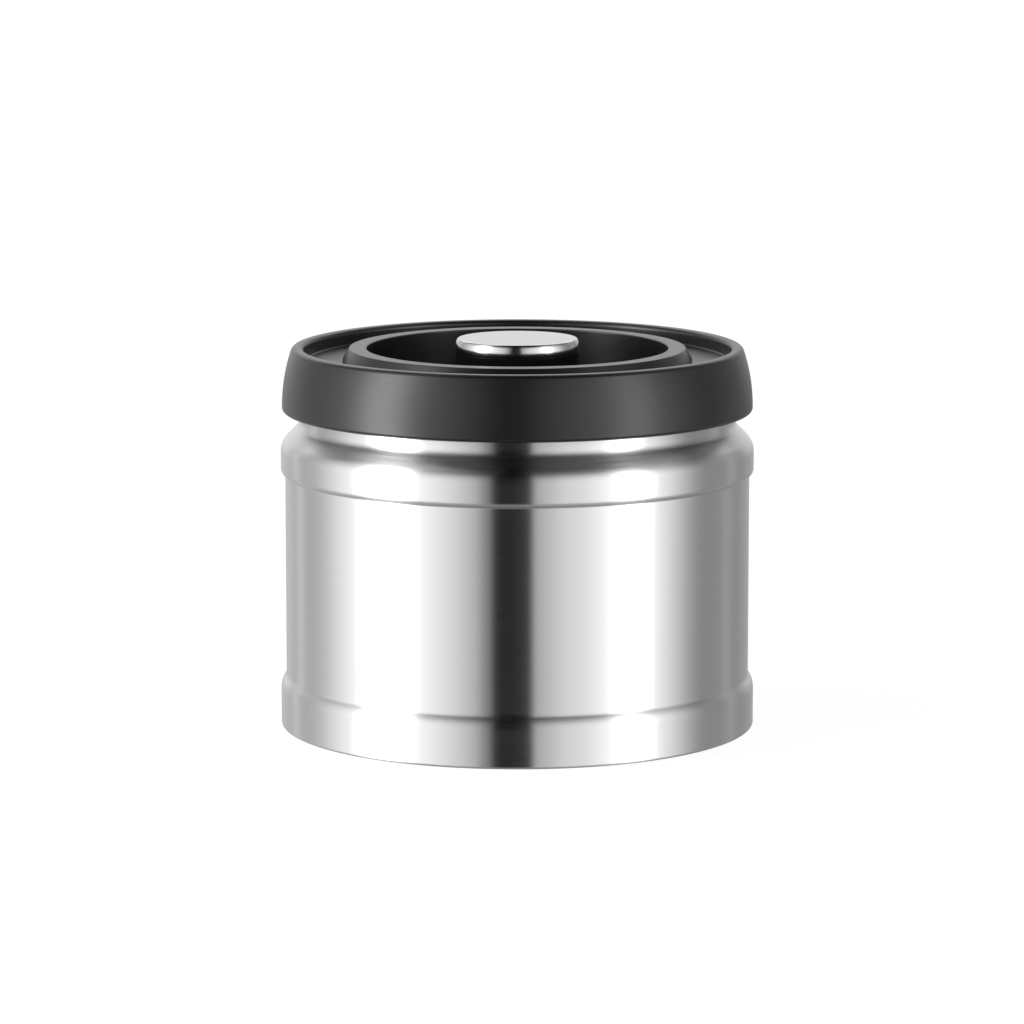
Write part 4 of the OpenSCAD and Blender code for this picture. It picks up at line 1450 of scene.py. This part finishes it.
@dataclass(frozen=True)
class ReleaseValve:
    """The silicone plug that lets air in: head, stem, bulb and pull tab. Sizes in millimetres."""

    body: str = "release"
    y: float = 26.5
    seat_z: float = 86.06
    head_r: float = 4.8
    head_t: float = 1.2
    edge_t: float = 0.6
    stem_r: float = 1.8
    bulb_r: float = 2.7
    bulb_z: float = 80.76
    bulb_h: float = 1.8
    tab_w: float = 6.4
    tab_t: float = 1.8
    tab_h: float = 3.6
    bar_r: float = 1.3

    def build(self) -> None:
        """Makes the plug as one soft moulding."""
        made = GREY_SILICONE
        top = self.seat_z + self.head_t
        outline = [
            (0.0, top), (self.head_r - self.edge_t, top), (self.head_r, self.seat_z + self.edge_t),
            (self.head_r, self.seat_z), (self.stem_r, self.seat_z), (self.stem_r, self.bulb_z),
            (self.bulb_r, self.bulb_z), (self.stem_r, self.bulb_z - self.bulb_h),
            (0.0, self.bulb_z - self.bulb_h)]
        piece = turned("release_plug", eased(outline, Ease.MIDDLE), made, Round.SMALL)
        half = self.tab_w / 2
        tab = block("release_tab", (-half, -self.tab_t / 2, top - OVERRUN),
                    (half, self.tab_t / 2, top + self.tab_h), made)
        bar = turned("release_bar", eased(rod(self.bar_r, -half, half), Ease.SOFTEST), made, Round.TINY)
        joined(piece, Joining.UNION, tab, moved(bar, z=top + self.tab_h, about_y=90))
        placed(moved(piece, y=self.y), self.body, made, "release_valve")


# Studio


@dataclass(frozen=True)
class Card:
    """A soft light card that stands round the object. Angles in degrees, azimuth 0 towards the camera
    and 90 to its right, and strength in the brightness of a white card."""

    azimuth: float
    half_width: float
    edge: float
    strength: float
    low: float = -26.0
    high: float = 24.0
    fade: float = 26.0


@dataclass(frozen=True)
class Studio:
    """A white sweep, cards on both sides, a dark gap round the camera, and the camera. Lengths in
    millimetres."""

    sky: Card = Card(0, 180, 1, 0.34, -90, 18, 30)
    glow: float = 0.04
    cards: tuple[Card, ...] = (
        Card(-66.5, 10.5, 56, 1.34),
        Card(-69, 4, 14, 7.1, -20, 24, 24),
        Card(-156, 22, 26, 0.23),
        Card(-136.5, 1.5, 6, 0.2),
        Card(-90, 12, 20, 1.0, 42, 74, 8),
        Card(56, 6, 44, 1.36),
        Card(59, 3, 10, 2.7, -20, 24, 24),
        Card(127.5, 1.5, 7, 0.11),
        Card(12, 8, 16, 0.35),
        Card(104, 8, 24, 0.5, 45, 68, 10),
        Card(180, 24, 20, 0.3, 0, 50, 8),
        Card(180, 24, 20, 1.45, 30, 56, 10),
    )
    dark_gap: tuple[Card, ...] = (
        Card(-2.5, 9, 2.2, 0.96, -38, 90, 14),
        Card(-10, 5, 6, 0.4, -38, 90, 14),
    )
    eye: tuple[float, float, float] = (-1.36, -1266.0, 257.5)
    aim: tuple[float, float, float] = (-1.36, 0.0, 54.5)
    lens: float = 176.1
    clip: tuple[float, float] = (50.0, 20000.0)
    floor_r: float = 4000.0
    floor_flats: int = 96
    paper_colour: str = "#eeeeec"
    paper_light: float = 1.12
    paper_share: float = 0.8

    @staticmethod
    def _card_light(tree: bpy.types.NodeTree, card: Card, flat: bpy.types.NodeSocket,
                    height: bpy.types.NodeSocket) -> bpy.types.NodeSocket:
        """Adds the nodes that work out one card's light from the direction.

        Args:
            tree: The world's tree.
            card: The card.
            flat: Socket of the direction laid level.
            height: Socket of the direction's angle above level.

        Returns:
            The socket that holds the card's light.
        """
        turn = math.radians(card.azimuth)
        along = add_node(tree, "ShaderNodeVectorMath", {"operation": "DOT_PRODUCT"}, {0: flat})
        along.inputs[1].default_value = (math.sin(turn), -math.cos(turn), 0.0)
        away = add_node(tree, "ShaderNodeMath", {"operation": "ARCCOSINE"}, {0: along.outputs["Value"]})
        light = add_node(tree, "ShaderNodeMapRange", {"interpolation_type": "SMOOTHSTEP"}, {
            "Value": away.outputs[0], "From Min": math.radians(card.half_width),
            "From Max": math.radians(card.half_width + card.edge), "To Min": card.strength, "To Max": 0.0,
        }).outputs["Result"]
        for start, end in ((card.low - card.fade, card.low), (card.high + card.fade, card.high)):
            reach = add_node(tree, "ShaderNodeMapRange", {"interpolation_type": "SMOOTHSTEP"}, {
                "Value": height, "From Min": math.radians(min(start, end)),
                "From Max": math.radians(max(start, end)), "To Min": float(start > end),
                "To Max": float(start < end)})
            light = add_node(tree, "ShaderNodeMath", {"operation": "MULTIPLY"},
                             {0: light, 1: reach.outputs["Result"]}).outputs[0]
        return light

    def light(self) -> None:
        """Lights the object by the direction that light comes from, with plain white for the camera."""
        world = bpy.data.worlds.new("studio")
        bpy.context.scene.world = world
        world.use_nodes = True
        tree = world.node_tree
        tree.nodes.clear()
        way = add_node(tree, "ShaderNodeTexCoord").outputs["Generated"]
        parts = add_node(tree, "ShaderNodeSeparateXYZ", {}, {0: way})
        level = add_node(tree, "ShaderNodeCombineXYZ", {}, {"X": parts.outputs["X"], "Y": parts.outputs["Y"]})
        flat = add_node(tree, "ShaderNodeVectorMath", {"operation": "NORMALIZE"}, {0: level.outputs[0]})
        height = add_node(tree, "ShaderNodeMath", {"operation": "ARCSINE"}, {
            0: parts.outputs["Z"]}).outputs[0]
        total = self._card_light(tree, self.sky, flat.outputs[0], height)
        for card in self.cards:
            total = add_node(tree, "ShaderNodeMath", {"operation": "ADD"}, {
                0: total, 1: self._card_light(tree, card, flat.outputs[0], height)}).outputs[0]
        total = add_node(tree, "ShaderNodeMath", {"operation": "ADD"}, {0: total, 1: self.glow}).outputs[0]
        for card in self.dark_gap:
            gap = self._card_light(tree, card, flat.outputs[0], height)
            open_share = add_node(tree, "ShaderNodeMath", {"operation": "SUBTRACT"}, {0: 1.0, 1: gap})
            total = add_node(tree, "ShaderNodeMath", {"operation": "MULTIPLY"},
                             {0: total, 1: open_share.outputs[0]}).outputs[0]
        lit = add_node(tree, "ShaderNodeBackground", {"name": "cards"}, {"Color": WHITE, "Strength": total})
        plain = add_node(tree, "ShaderNodeBackground", {"name": "white"}, {"Color": WHITE, "Strength": 1.0})
        seen = add_node(tree, "ShaderNodeLightPath").outputs["Is Camera Ray"]
        mixed = add_node(tree, "ShaderNodeMixShader", {}, {
            0: seen, 1: lit.outputs[0], 2: plain.outputs[0]})
        add_node(tree, "ShaderNodeOutputWorld", {}, {"Surface": mixed.outputs[0]})

    def floor(self) -> None:
        """A white paper sweep that shows white to the camera and keeps the object's shadow."""
        turns = [math.tau * i / self.floor_flats for i in range(self.floor_flats)]
        points = [(self.floor_r * math.cos(turn), self.floor_r * math.sin(turn), 0.0) for turn in turns]
        sheet = drawn("paper_sweep", points, [], [tuple(range(self.floor_flats))])
        paper = bpy.data.materials.new("matt_white_paper")
        paper.use_nodes = True
        tree = paper.node_tree
        tree.nodes.clear()
        matt = add_node(tree, "ShaderNodeBsdfDiffuse", {}, {"Color": linear(self.paper_colour)})
        lit = add_node(tree, "ShaderNodeEmission", {}, {"Color": WHITE, "Strength": self.paper_light})
        seen = add_node(tree, "ShaderNodeLightPath").outputs["Is Camera Ray"]
        share = add_node(tree, "ShaderNodeMath", {"operation": "MULTIPLY"}, {0: seen, 1: self.paper_share})
        mixed = add_node(tree, "ShaderNodeMixShader", {}, {
            0: share.outputs[0], 1: matt.outputs[0], 2: lit.outputs[0]})
        add_node(tree, "ShaderNodeOutputMaterial", {}, {"Surface": mixed.outputs[0]})
        sheet.data.materials.append(paper)
        sheet.visible_glossy = False

    def camera(self) -> None:
        """The camera, at the photograph's angle."""
        data = bpy.data.cameras.new("camera")
        data.lens = self.lens
        data.clip_start, data.clip_end = (distance * MM for distance in self.clip)
        eye, aim = (Vector(point) * MM for point in (self.eye, self.aim))
        camera = bpy.data.objects.new("camera", data)
        camera.location = eye
        camera.rotation_euler = (aim - eye).to_track_quat("-Z", "Y").to_euler()
        bpy.context.scene.collection.objects.link(camera)
        bpy.context.scene.camera = camera

    def build(self) -> None:
        """Sets up the light, the floor and the camera."""
        bpy.context.scene.view_settings.view_transform = "Standard"
        self.light()
        self.floor()
        self.camera()


def main() -> None:
    """Builds the canister and its studio."""
    logging.basicConfig(level=logging.INFO, format="%(name)s: %(message)s")
    Studio().build()
    CanisterBody().build()
    Lid().build()
    Pump().build()
    PushButton().build()
    ReleaseValve().build()


if __name__ == "__main__":
    main()
